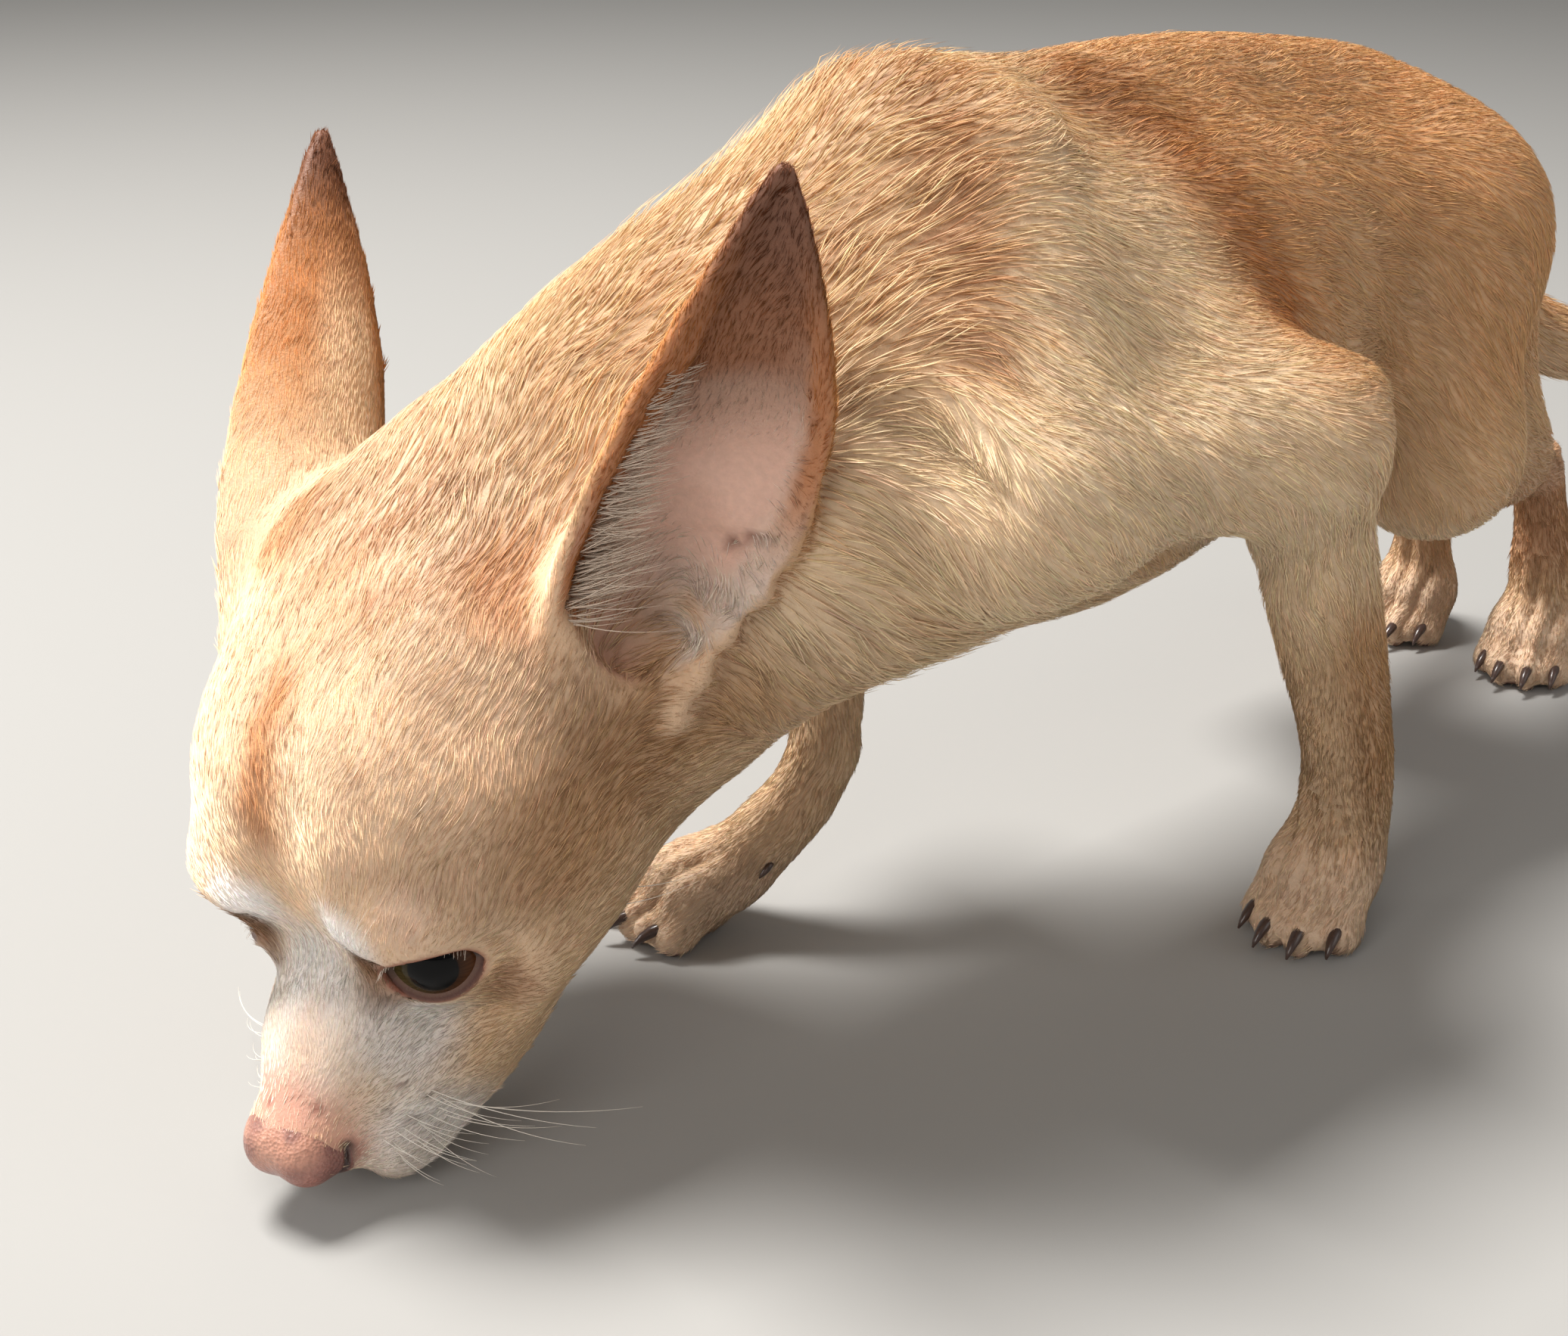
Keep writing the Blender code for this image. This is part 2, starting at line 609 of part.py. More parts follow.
def plate(at, normal, reach, sides=40):
    """A thin plate across the limb at this point, ending just outside its skin."""
    across, up = sideways(normal)
    turn = np.arange(sides) / sides * 2 * np.pi
    rays = np.cos(turn)[:, None] * across + np.sin(turn)[:, None] * up
    out = np.arange(0.001, reach, 0.0004)
    far = body((at + out[:, None] * rays[:, None]).reshape(-1, 3)).reshape(sides, -1) > 0.0008
    edge = np.where(far.any(axis=1), out[far.argmax(axis=1)], reach)
    edge = np.max([np.roll(edge, turns) for turns in (-1, 0, 1)], axis=0) + 0.0002
    outline = at + edge[:, None] * rays
    return prism(outline, -unit(normal) * GAP / 2, unit(normal) * GAP / 2)


def round_solid(centre, axes, rings=12, sides=18):
    """An ellipsoid about a centre: the columns of axes are its half-axes, the third through its poles."""
    polar = np.arange(1, rings) / rings * np.pi
    turn = np.arange(sides) / sides * 2 * np.pi
    x = np.outer(np.sin(polar), np.cos(turn))
    y = np.outer(np.sin(polar), np.sin(turn))
    z = np.outer(np.cos(polar), np.ones(sides))
    unit_points = np.stack([x, y, z], axis=-1).reshape(-1, 3)
    unit_points = np.concatenate([unit_points, [(0, 0, 1), (0, 0, -1)]])
    grid = np.arange((rings - 1) * sides).reshape(rings - 1, sides)
    right = np.roll(grid, -1, axis=1)
    quads = np.stack([grid[:-1], grid[1:], right[1:], right[:-1]], axis=-1).reshape(-1, 4).tolist()
    top = [(len(unit_points) - 2, a, b) for a, b in zip(grid[0], right[0])]
    foot = [(len(unit_points) - 1, b, a) for a, b in zip(grid[-1], right[-1])]
    return outward(centre + unit_points @ np.asarray(axes).T, quads + top + foot)


def horn(line, radii, sides=6):
    """A closed tapering rod through these points."""
    line = np.array(line, float)
    rings = []
    for i, centre in enumerate(line):
        way = line[min(i + 1, len(line) - 1)] - line[max(i - 1, 0)]
        across, up = sideways(way)
        turn = np.arange(sides) / sides * 2 * np.pi
        rings.append(centre + radii[i] * (np.cos(turn)[:, None] * across + np.sin(turn)[:, None] * up))
    points = np.concatenate(rings)
    grid = np.arange(len(points)).reshape(len(line), sides)
    right = np.roll(grid, -1, axis=1)
    quads = np.stack([grid[:-1], grid[1:], right[1:], right[:-1]], axis=-1).reshape(-1, 4).tolist()
    return outward(points, [*quads, grid[0].tolist(), grid[-1][::-1].tolist()])


def paint(name, colour, roughness):
    """A plain Principled material."""
    made = bpy.data.materials.new(name)
    made.use_nodes = True
    shader = made.node_tree.nodes["Principled BSDF"]
    shader.inputs["Base Color"].default_value = (*colour, 1)
    shader.inputs["Roughness"].default_value = roughness
    shader.inputs["Metallic"].default_value = 0.0
    made.diffuse_color = (*colour, 1)
    return made


COAT = paint("fawn_coat", (0.62, 0.38, 0.20), 0.85)
PALE_COAT = paint("cream_coat", (0.74, 0.55, 0.38), 0.85)
EAR_COAT = paint("ear_coat", (0.57, 0.29, 0.15), 0.80)
NOSE_SKIN = paint("nose_leather", (0.42, 0.19, 0.15), 0.45)
EYE_GLASS = paint("eye_surface", (0.035, 0.016, 0.010), 0.08)

# The body without its ears, parted by the plates. Each part is told by the point nearest its middle.
PARTS = {
    "head": (from_head((-0.020, 0, -0.005)), COAT),
    "neck": (vec(-0.104, 0.030, 0.102), COAT),
    "torso": (vec(-0.010, 0.002, 0.115), COAT),
    "tail": (vec(0.140, -0.010, 0.084), COAT),
    "foreleg_left": (vec(-0.010, -0.037, 0.055), PALE_COAT),
    "foreleg_right": (vec(-0.058, 0.034, 0.050), PALE_COAT),
    "forepaw_left": (LEFT_FORE["toes"], PALE_COAT),
    "forepaw_right": (RIGHT_FORE["toes"], PALE_COAT),
    "hindleg_left": (LEFT_HIND["bones"][2], COAT),
    "hindleg_right": (RIGHT_HIND["bones"][2], COAT),
    "hindpaw_left": (LEFT_HIND["toes"], PALE_COAT),
    "hindpaw_right": (RIGHT_HIND["toes"], PALE_COAT),
}
points, faces = thinned(body, BOX_LOW, BOX_HIGH, CELL, BODY_TRIANGLES)
points, faces = boolean(points, faces, [plate(*cut) for cut in CUTS])
found = {}
for piece_points, piece_faces in pieces(points, faces):
    middle = (piece_points.min(axis=0) + piece_points.max(axis=0)) / 2
    name = min(PARTS, key=lambda known: np.linalg.norm(PARTS[known][0] - middle))
    if name not in found:
        found[name] = (piece_points, piece_faces)


# The nose leather and its two comma-shaped nostrils, the slit below it, and the line of the mouth.
def nose(p):
    """A rounded block of leather, fuller over each nostril."""
    q = to_head(p)
    d = oval(q, NOSE_AT, NOSE_RADII)
    for s in (1, -1):
        wing = NOSE_AT + vec(0.0010, s * 0.0033, 0.0004)
        d = blend(d, oval(q, wing, (0.0050, 0.0037, 0.0050)), 0.0020)
    return d * HEAD_SIZE


def nostril(side):
    """A round hole that runs out into a slit behind it."""
    inward = unit(vec(0.80, side * 0.45, -0.10))
    hole = np.stack([vec(0, 0.0014, 0), vec(0, 0, 0.0017), inward * 0.0034], axis=1)
    slit = np.stack([vec(0.0022, 0, 0), vec(0, 0, 0.0006), vec(-0.0016, side * 0.0030, 0)], axis=1)
    hole_at = from_head(NOSE_AT + vec(0.0050, side * 0.0030, 0.0000))
    slit_at = from_head(NOSE_AT + vec(0.0032, side * 0.0056, -0.0010))
    turned = HEAD_SIZE * HEAD_AXES
    return [round_solid(hole_at, turned @ hole, 6, 8), round_solid(slit_at, turned @ slit, 4, 6)]


def slot(outline, half):
    """A slot through the head: an outline (x, z) on its middle plane, pushed half to each side."""
    across = HEAD_AXES[:, 1] * HEAD_SIZE * half
    return prism(from_head([(x, 0, z) for x, z in outline]), -across, across)


LIPS = (
    (0.0420, -0.0200),
    (0.0310, -0.0208),
    (0.0210, -0.0232),
    (0.0100, -0.0246),
    (0.0000, -0.0244),
    (-0.0080, -0.0225),
    (-0.0120, -0.0200),
)
mouth = slot(LIPS + tuple((x, z - 0.0005) for x, z in LIPS[::-1]), 0.0300)
philtrum = slot(((0.0300, -0.0100), (0.0420, -0.0100), (0.0420, -0.0212), (0.0295, -0.0212)), 0.0002)
low, high = from_head(NOSE_AT) - 0.012, from_head(NOSE_AT) + 0.012
socket = thinned(lambda p: nose(p) - GAP, low, high, NOSE_CELL, NOSE_TRIANGLES)
leather = thinned(nose, low, high, NOSE_CELL, NOSE_TRIANGLES)
leather = pieces(*boolean(*leather, [*nostril(1), *nostril(-1), philtrum]))[0]


# The eyes: a ball in each socket, seen between two lids.
def almond(side):
    """The opening between the lids, drawn square to the look of the eye and pushed through the lids."""
    look = unit(vec(0.585, side * 0.570, 0.577))
    outer = vec(-0.615, side * 1.504, -0.430)
    outer = unit(outer - (outer @ look) * look)
    up = np.cross(look, outer) * side
    turn = np.arange(22) / 22 * 2 * np.pi
    height = np.where(np.sin(turn) > 0, 0.0050, 0.0046) * np.sin(turn) * np.abs(np.sin(turn)) ** 0.25
    outline = 0.0066 * np.cos(turn)[:, None] * outer + height[:, None] * up
    way = HEAD_AXES @ look * HEAD_SIZE * EYE_RADIUS
    return prism(from_head(EYE_AT * vec(1, side, 1) + outline), way * 0.3, way * 2.2)


def eyeball(side, more=0.0):
    """A ball with its poles across the head."""
    radius = EYE_RADIUS * HEAD_SIZE + more
    return round_solid(from_head(EYE_AT * vec(1, side, 1)), radius * HEAD_AXES[:, [0, 2, 1]], 10, 16)


head_cutters = [socket, mouth, philtrum]
for side in (1, -1):
    head_cutters += [eyeball(side, GAP), almond(side)]
found["head"] = pieces(*boolean(*found["head"], head_cutters))[0]


# Claws, grown into the paws.
def claws(leg, dew):
    """Four short bent claws, and on a foreleg the dewclaw on its inner side."""
    c, s = np.cos(leg["heading"]), np.sin(leg["heading"])
    forward, left, up = vec(-c, -s, 0), vec(s, -c, 0), vec(0, 0, 1)
    radii = (0.0012, 0.0010, 0.0004)
    made = []
    for spread, reach, radius in TOES:
        tip = leg["toes"] + left * spread + forward * reach + up * (radius - 0.0087)
        way = unit(forward + left * spread * 18)
        bend = [way * 0.0022 + up * 0.0016, way * 0.0052 + up * 0.0010, way * 0.0078 - up * 0.0012]
        made.append(horn(tip + np.array(bend), radii))
    if dew:
        inner = left * dew
        root = leg["toes"] + inner * 0.0078 - forward * 0.0020 + up * 0.0085
        bend = [0 * up, inner * 0.0025 + forward * 0.0015 - up * 0.0012,
                inner * 0.0030 + forward * 0.0040 - up * 0.0038]
        made.append(horn(root + np.array(bend), radii))
    return made


CLAWED = (
    ("forepaw_left", LEFT_FORE, -1),
    ("forepaw_right", RIGHT_FORE, 1),
    ("hindpaw_left", LEFT_HIND, 0),
    ("hindpaw_right", RIGHT_HIND, 0),
)
for name, leg, dew in CLAWED:
    found[name] = pieces(*boolean(*found[name], claws(leg, dew), "UNION"))[0]

# Every piece into the scene, moved so that the middle of the whole is over the origin.
for name, (piece_points, piece_faces) in found.items():
    put(name, piece_points + CENTRE_SHIFT, piece_faces, PARTS[name][1])
put("nose", leather[0] + CENTRE_SHIFT, leather[1], NOSE_SKIN)
for side, name in ((1, "left"), (-1, "right")):
    ball_points, ball_faces = eyeball(side)
    put("eye_" + name, ball_points + CENTRE_SHIFT, ball_faces, EYE_GLASS)
    low, high = middle_of_ear(side) - 0.058, middle_of_ear(side) + 0.058
    leaf_points, leaf_faces = thinned(lambda p: loose_ear(p, side), low, high, EAR_CELL, EAR_TRIANGLES)
    put("ear_" + name, leaf_points + CENTRE_SHIFT, leaf_faces, EAR_COAT)
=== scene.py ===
# %% [markdown]
# # A short-coated chihuahua with its nose to the floor
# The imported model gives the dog's size, its stance and the place of every part. This notebook
# dresses it: one skin over the whole body, a coat of small tufts that follows the lie of the
# hair, eyes, lids, a pebbled nose, claws and whiskers. The dog faces -X and its left side is
# towards -Y. Every shape here is drawn in metres round the dog's own joints.

import bpy
import numpy as np
from mathutils import Matrix


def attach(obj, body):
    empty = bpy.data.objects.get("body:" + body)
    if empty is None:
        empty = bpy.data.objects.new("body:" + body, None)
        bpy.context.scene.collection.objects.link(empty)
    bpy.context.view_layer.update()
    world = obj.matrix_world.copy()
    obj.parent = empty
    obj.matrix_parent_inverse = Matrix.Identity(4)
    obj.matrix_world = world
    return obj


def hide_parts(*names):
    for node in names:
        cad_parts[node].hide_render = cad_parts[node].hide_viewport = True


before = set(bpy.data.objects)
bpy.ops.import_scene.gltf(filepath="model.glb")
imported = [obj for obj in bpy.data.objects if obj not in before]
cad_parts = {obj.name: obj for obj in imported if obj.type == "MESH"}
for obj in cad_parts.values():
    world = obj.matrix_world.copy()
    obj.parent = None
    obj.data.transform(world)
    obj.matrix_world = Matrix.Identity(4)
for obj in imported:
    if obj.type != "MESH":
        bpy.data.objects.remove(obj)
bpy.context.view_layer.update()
print("nodes:", sorted(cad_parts))

# %% [markdown]
# ## The picture
# The dog was seen from close by, from its left front and from above. A camera is a place and
# three directions: to the right, up, and back towards the viewer. Written as a matrix they
# leave no angle to guess. The focal length sets how fast things shrink with distance, which
# is what makes the head look so large beside the hips.

# %% The camera
TO_FRAME = np.array([0.00575, -0.0230, 0.0])
CAMERA_AT = np.array([-0.294, -0.200, 0.199])
TURN, DIP = np.radians(-43.5), np.radians(24.1)
to_right = np.array([np.cos(TURN), np.sin(TURN), 0])
ahead = np.array([-np.sin(TURN) * np.cos(DIP), np.cos(TURN) * np.cos(DIP), -np.sin(DIP)])
upward = np.cross(to_right, ahead)
camera = bpy.data.objects.new("camera", bpy.data.cameras.new("camera"))
camera.data.sensor_width = 36
camera.data.lens = 36 * 2674 / 2072
camera.data.clip_start = 0.01
pose = Matrix.Identity(4)
for row in range(3):
    pose[row][0], pose[row][1], pose[row][2] = to_right[row], upward[row], -ahead[row]
    pose[row][3] = (CAMERA_AT + TO_FRAME)[row]
camera.matrix_world = pose
bpy.context.scene.collection.objects.link(camera)
bpy.context.scene.camera = camera
print("camera at", np.round(CAMERA_AT + TO_FRAME, 4))

# %% [markdown]
# ## Light and floor
# Short hair shows its lie only where light grazes it. A wide soft lamp overhead and a little
# behind does that, a second one on the viewer's side fills the shadows, and a pale sky lifts
# the rest. The floor is one pale plane under the paws, large enough to have no edge in view.

# %% Lamps, sky and floor


def lamp(name, at, towards, size, watts, colour=(1, 1, 1)):
    """A square area lamp at a point, turned to face another point."""
    light = bpy.data.lights.new(name, "AREA")
    light.size, light.energy, light.color = size, watts, colour
    thing = bpy.data.objects.new(name, light)
    back = np.array(at, float) - np.array(towards, float)
    back /= np.linalg.norm(back)
    side = np.cross((0.0, 1.0, 0.01), back)
    side /= np.linalg.norm(side)
    over = np.cross(back, side)
    turned = Matrix.Identity(4)
    for row in range(3):
        turned[row][0], turned[row][1], turned[row][2] = side[row], over[row], back[row]
        turned[row][3] = at[row]
    thing.matrix_world = turned
    bpy.context.scene.collection.objects.link(thing)


lamp("lamp_key", (-0.30, 0.46, 1.53), (-0.04, 0, 0.06), 0.55, 46.0, (1.0, 0.975, 0.94))
lamp("lamp_front", (-0.90, -0.30, 0.62), (-0.08, 0, 0.06), 0.55, 3.5, (1.0, 0.97, 0.93))
lamp("lamp_far", (-0.75, 0.60, 0.34), (-0.10, 0, 0.05), 0.40, 2.8, (1.0, 0.99, 0.97))
lamp("lamp_side", (0.35, -0.85, 0.55), (0.0, 0, 0.08), 0.60, 1.1, (1.0, 0.97, 0.93))
sky = bpy.data.worlds.new("sky")
sky.use_nodes = True
sky.node_tree.nodes["Background"].inputs["Color"].default_value = (0.97, 0.95, 0.92, 1)
sky.node_tree.nodes["Background"].inputs["Strength"].default_value = 0.27
bpy.context.scene.world = sky
bpy.context.scene.view_settings.view_transform = "Standard"

floor_mesh = bpy.data.meshes.new("floor")
floor_mesh.from_pydata([(-6, -6, 0), (6, -6, 0), (6, 6, 0), (-6, 6, 0)], [], [(0, 1, 2, 3)])
floor = bpy.data.objects.new("floor", floor_mesh)
bpy.context.scene.collection.objects.link(floor)
floor_paint = bpy.data.materials.new("pale_floor")
floor_paint.use_nodes = True
floor_shader = floor_paint.node_tree.nodes["Principled BSDF"]
floor_shader.inputs["Base Color"].default_value = (0.36, 0.355, 0.345, 1)
floor_shader.inputs["Roughness"].default_value = 0.8
floor_shader.inputs["Specular IOR Level"].default_value = 0.1
floor_mesh.materials.append(floor_paint)
print("four lamps, a sky and a floor")

# %% [markdown]
# ## The dog's measures
# A dog is drawn from its joints: the eye sockets, the ears' roots and tips, the spine, and for
# each leg the points where bones meet. They are the same values that the solids were built
# from, so that the skin and the solids agree to a hair.

# %% Joints and sizes
MARGIN = 0.015
HEAD_AT = np.array([-0.1602, 0.0329, 0.0412])
HEAD_YAW = np.radians(16.3)
HEAD_PITCH = np.radians(46.3)
HEAD_ROLL = np.radians(-0.7)
HEAD_SIZE = 1.06
EYE_AT = np.array([-0.0008, 0.0131, -0.0006])
EYE_RADIUS = 0.0081
LID = 0.0013
NOSE_AT = np.array([0.0308, 0, -0.0066])
NOSE_RADII = np.array([0.0058, 0.0070, 0.0068])
# Root, tip, and the way the cup faces, for the left ear (1) and the right one (-1), in the head's axes.
EARS = {
    1: np.array([(-0.0496, 0.0341, 0.0167), (-0.0898, 0.0600, 0.0627), (0.655, 0.620, 0.432)]),
    -1: np.array([(-0.0481, -0.0302, 0.0092), (-0.1109, -0.0448, 0.0245), (0.058, -0.987, -0.152)]),
}
EAR_HEIGHTS = (-0.2, 0, 0.12, 0.3, 0.5, 0.7, 0.85, 0.95, 1)
EAR_HALF_WIDTHS = (0.0088, 0.0114, 0.0129, 0.0134, 0.0120, 0.0084, 0.0047, 0.0021, 0.0004)
EAR_DEPTHS = (0.0140, 0.0130, 0.0110, 0.0082, 0.0058, 0.0034, 0.0017, 0.0009, 0.0003)
EAR_LEAN = 0.0
EAR_BULGE = 0.0033
EAR_WALL = 0.0013
SPINE = (
    (-0.080, 0.0000, 0.1490),
    (-0.045, 0.0005, 0.1522),
    (0.000, 0.0020, 0.1505),
    (0.040, 0.0040, 0.1435),
    (0.066, 0.0050, 0.1285),
)
TAIL = (
    (0.070, 0.004, 0.1200),
    (0.087, 0.002, 0.1050),
    (0.107, -0.003, 0.0905),
    (0.129, -0.009, 0.0830),
    (0.151, -0.013, 0.0830),
    (0.170, -0.015, 0.0900),
)
TAIL_RADII = (0.0105, 0.0092, 0.0086, 0.0080, 0.0068, 0.0030)
TOES = ((-0.0076, 0.0055, 0.0043), (-0.0029, 0.0105, 0.0047), (0.0029, 0.0105, 0.0047), (0.0076, 0.0055, 0.0043))
# The joints of each leg from the top down, the middle of its toes, and the way they point.
LEFT_FORE = {
    "bones": np.array([
        (-0.0740, -0.0120, 0.1480),
        (-0.0850, -0.0290, 0.1060),
        (-0.0345, -0.0400, 0.1050),
        (-0.0250, -0.0435, 0.1115),
        (0.0005, -0.0352, 0.0385),
        (0.0090, -0.0305, 0.0150),
    ]),
    "toes": np.array([0.0030, -0.0310, 0.0080]),
    "heading": np.radians(8),
    "thick": 1.12,
}
RIGHT_FORE = {
    "bones": np.array([
        (-0.0800, 0.0120, 0.1480),
        (-0.0980, 0.0310, 0.1050),
        (-0.0510, 0.0420, 0.0930),
        (-0.0425, 0.0435, 0.0985),
        (-0.0644, 0.0325, 0.0345),
        (-0.0749, 0.0418, 0.0150),
    ]),
    "toes": np.array([-0.0812, 0.0471, 0.0080]),
    "heading": np.radians(-35),
    "thick": 0.90,
}
LEFT_HIND = {
    "bones": np.array([
        (0.0500, -0.0100, 0.1230),
        (0.0470, -0.0185, 0.0800),
        (0.1320, 0.0000, 0.0510),
        (0.1450, 0.0000, 0.0150),
    ]),
    "toes": np.array([0.1410, -0.0010, 0.0080]),
    "heading": np.radians(12),
}
RIGHT_HIND = {
    "bones": np.array([
        (0.0520, 0.0200, 0.1230),
        (0.0560, 0.0310, 0.0800),
        (0.1330, 0.0310, 0.0510),
        (0.1470, 0.0330, 0.0150),
    ]),
    "toes": np.array([0.1430, 0.0320, 0.0080]),
    "heading": np.radians(0),
}
# %% [markdown]
# ## A shape as a distance
# Soft bodies have no corners to measure from. Each muscle or bone is a simple form, a ball, an
# oval or a tapering rod, and each form is a function: the distance from any point in the room
# to its surface, below nought inside. Two forms are joined with a fillet by blending their
# distances, which is how flesh runs from one muscle to the next. It could be sculpted by hand
# instead, but a distance can be asked anywhere, for the skin, for the way hair leans, and for
# how deep an eye sits.

# %% Distances and how they join
def vec(*parts):
    """A point or a direction as an array."""
    return np.array(parts, float)


def unit(v):
    """The direction of v."""
    return v / np.linalg.norm(v)


def ball(p, centre, radius):
    """Distance from each point to a ball's surface."""
    return np.linalg.norm(p - centre, axis=-1) - radius


def cone(p, a, b, radius_a, radius_b):
    """Distance to a rod from a to b with round ends, whose radius changes evenly."""
    ab = b - a
    t = np.clip(((p - a) @ ab) / (ab @ ab), 0, 1)
    return np.linalg.norm(p - a - t[..., None] * ab, axis=-1) - (radius_a + (radius_b - radius_a) * t)


def oval(p, centre, radii):
    """Near its surface, the distance to an ellipsoid: g(g-1)/h, g = |q/r|, h = |q/r^2|."""
    q = p - np.array(centre, float)
    r = np.array(radii, float)
    g = np.linalg.norm(q / r, axis=-1)
    h = np.linalg.norm(q / (r * r), axis=-1)
    return g * (g - 1) / np.maximum(h, 1e-9)


def blend(a, b, k):
    """The nearer of two shapes, with a fillet where they differ by less than k."""
    h = np.maximum(k - np.abs(a - b), 0) / k
    return np.minimum(a, b) - h * h * k * 0.25


def carve(a, b, k):
    """Shape a with shape b taken out of it, the edge rounded over k."""
    return -blend(-a, b, k)


def limb(p, points, radii, steps=3):
    """Distance to a rod bent smoothly through the points (Catmull-Rom), its radius eased between them."""
    pts = np.array(points, float)
    pts = np.vstack([2 * pts[0] - pts[1], pts, 2 * pts[-1] - pts[-2]])
    rad = np.array([radii[0], *radii, radii[-1]], float)
    t = np.linspace(0, 1, steps + 1)[:, None]
    knots = np.column_stack([pts, rad])
    line = [knots[1:2]]
    for i in range(1, len(knots) - 2):
        a, b, c, d = knots[i - 1 : i + 3]
        bend = 2 * a - 5 * b + 4 * c - d + t * (3 * (b - c) + d - a)
        line.append((b + 0.5 * t * (c - a + t * bend))[1:])
    line = np.concatenate(line)
    rods = [cone(p, a[:3], b[:3], a[3], b[3]) for a, b in zip(line[:-1], line[1:])]
    return np.min(rods, axis=0)


def within(p, centre, reach, shape):
    """shape(p) for the points within reach of centre, and a safe far value for the rest."""
    away = np.linalg.norm(p - centre, axis=-1)
    found = away - reach + MARGIN
    inside = away < reach
    if inside.any():
        found[inside] = shape(p[inside])
    return found


# The head's own axes: x to the nose, y to the dog's left, z to the crown.
def head_axes(yaw, pitch, roll):
    """Columns are the head's x, y and z in the room."""
    cy, cp, cr = np.cos((yaw, pitch, roll))
    sy, sp, sr = np.sin((yaw, pitch, roll))
    about_z = np.array([[cy, -sy, 0], [sy, cy, 0], [0, 0, 1]])
    about_y = np.array([[cp, 0, -sp], [0, 1, 0], [sp, 0, cp]])
    about_x = np.array([[1, 0, 0], [0, cr, -sr], [0, sr, cr]])
    return about_z @ about_y @ about_x @ np.diag([-1.0, -1.0, 1.0])


HEAD_AXES = head_axes(HEAD_YAW, HEAD_PITCH, HEAD_ROLL)


def to_head(p):
    """Room points in the head's axes."""
    return (p - HEAD_AT) @ HEAD_AXES / HEAD_SIZE


def from_head(q):
    """Head points in the room."""
    return HEAD_AT + HEAD_SIZE * np.array(q, float) @ HEAD_AXES.T


def torso(p):
    """Ribcage, belly drawn up to the loin, pelvis, breast, and the ridge of the spine."""
    d = oval(p, (-0.046, 0.000, 0.1110), (0.058, 0.0320, 0.0425))
    d = blend(d, oval(p, (0.008, 0.002, 0.1160), (0.060, 0.0265, 0.0335)), 0.025)
    d = blend(d, oval(p, (0.044, 0.005, 0.1175), (0.032, 0.0230, 0.0280)), 0.018)
    d = blend(d, oval(p, (-0.088, 0.003, 0.1030), (0.026, 0.0245, 0.0275)), 0.020)
    return blend(d, limb(p, SPINE, (0.0090, 0.0080, 0.0080, 0.0080, 0.0080)), 0.012)


def neck(p):
    """The neck's column, its crest, and the throat."""
    column = (vec(-0.078, 0.002, 0.121), vec(-0.106, 0.022, 0.108), from_head((-0.064, -0.001, -0.003)))
    crest = (vec(-0.083, 0.001, 0.1475), vec(-0.105, 0.017, 0.1290), from_head((-0.064, 0, 0.012)))
    throat = (vec(-0.092, 0.003, 0.0970), vec(-0.1050, 0.0245, 0.0700), from_head((-0.040, 0, -0.0250)))
    d = limb(p, column, (0.0300, 0.0260, 0.0240))
    d = blend(d, limb(p, crest, (0.0110, 0.0110, 0.0120)), 0.014)
    return blend(d, limb(p, throat, (0.0200, 0.0210, 0.0186)), 0.016)


def skull(q):
    """The domed cranium, brows, cheekbones and the big chewing muscle, on both sides."""
    d = oval(q, (-0.0385, 0, 0.0010), (0.0360, 0.0345, 0.0310))
    d = blend(d, oval(q, (-0.0175, 0, 0.0075), (0.0225, 0.0280, 0.0235)), 0.010)
    for s in (1, -1):
        d = blend(d, oval(q, (-0.0025, s * 0.0145, 0.0096), (0.0085, 0.0090, 0.0066)), 0.007)
        d = blend(d, oval(q, (-0.0170, s * 0.0220, -0.0080), (0.0220, 0.0095, 0.0100)), 0.012)
        d = blend(d, oval(q, (-0.0300, s * 0.0160, -0.0158), (0.0200, 0.0092, 0.0136)), 0.014)
    return d


def muzzle(q):
    """Bridge, cheeks of the muzzle, upper lips, and the lower jaw."""
    d = oval(q, (0.0060, 0, -0.0095), (0.0220, 0.0155, 0.0125))
    d = blend(d, cone(q, vec(0.004, 0, -0.0072), vec(0.0270, 0, -0.0072), 0.0092, 0.0066), 0.008)
    for s in (1, -1):
        d = blend(d, oval(q, (0.0165, s * 0.0080, -0.0170), (0.0156, 0.0078, 0.0100)), 0.005)
        d = blend(d, oval(q, (-0.0020, s * 0.0135, -0.0165), (0.0190, 0.0088, 0.0110)), 0.008)
    jaw = limb(q, ((-0.036, 0, -0.0245), (-0.006, 0, -0.0262), (0.0165, 0, -0.0222)), (0.0132, 0.0118, 0.0080))
    return blend(d, jaw, 0.005)


def head(p):
    """Skull and muzzle, with the stop between them, and each eye's bulge in its socket."""
    q = to_head(p)
    d = blend(skull(q), muzzle(q), 0.008)
    d = carve(d, cone(q, vec(0.0100, 0, 0.0150), vec(-0.0120, 0, 0.0375), 0.0040, 0.0030), 0.008)
    for s in (1, -1):
        m = q * vec(1, s, 1)
        root = EARS[s][0]
        d = blend(d, ball(q, root * vec(1, 0.70, 0.55), 0.0125), 0.010)
        d = carve(d, ball(m, EYE_AT + vec(0.0080, 0.0080, -0.0010), 0.0060), 0.008)
        d = blend(d, ball(m, EYE_AT, EYE_RADIUS + LID), 0.0045)
    return d * HEAD_SIZE


def bow(x, y, half, sag):
    """Distance in a plane from an arc: its middle is at the origin, its ends half to each side and sag up."""
    radius = (half * half + sag * sag) / (2 * sag)
    turn = np.arctan2(np.abs(x), radius - y)
    ends = np.hypot(np.abs(x) - half, y - sag)
    return np.where(turn <= 2 * np.arctan2(sag, half), np.abs(np.hypot(x, radius - y) - radius), ends)


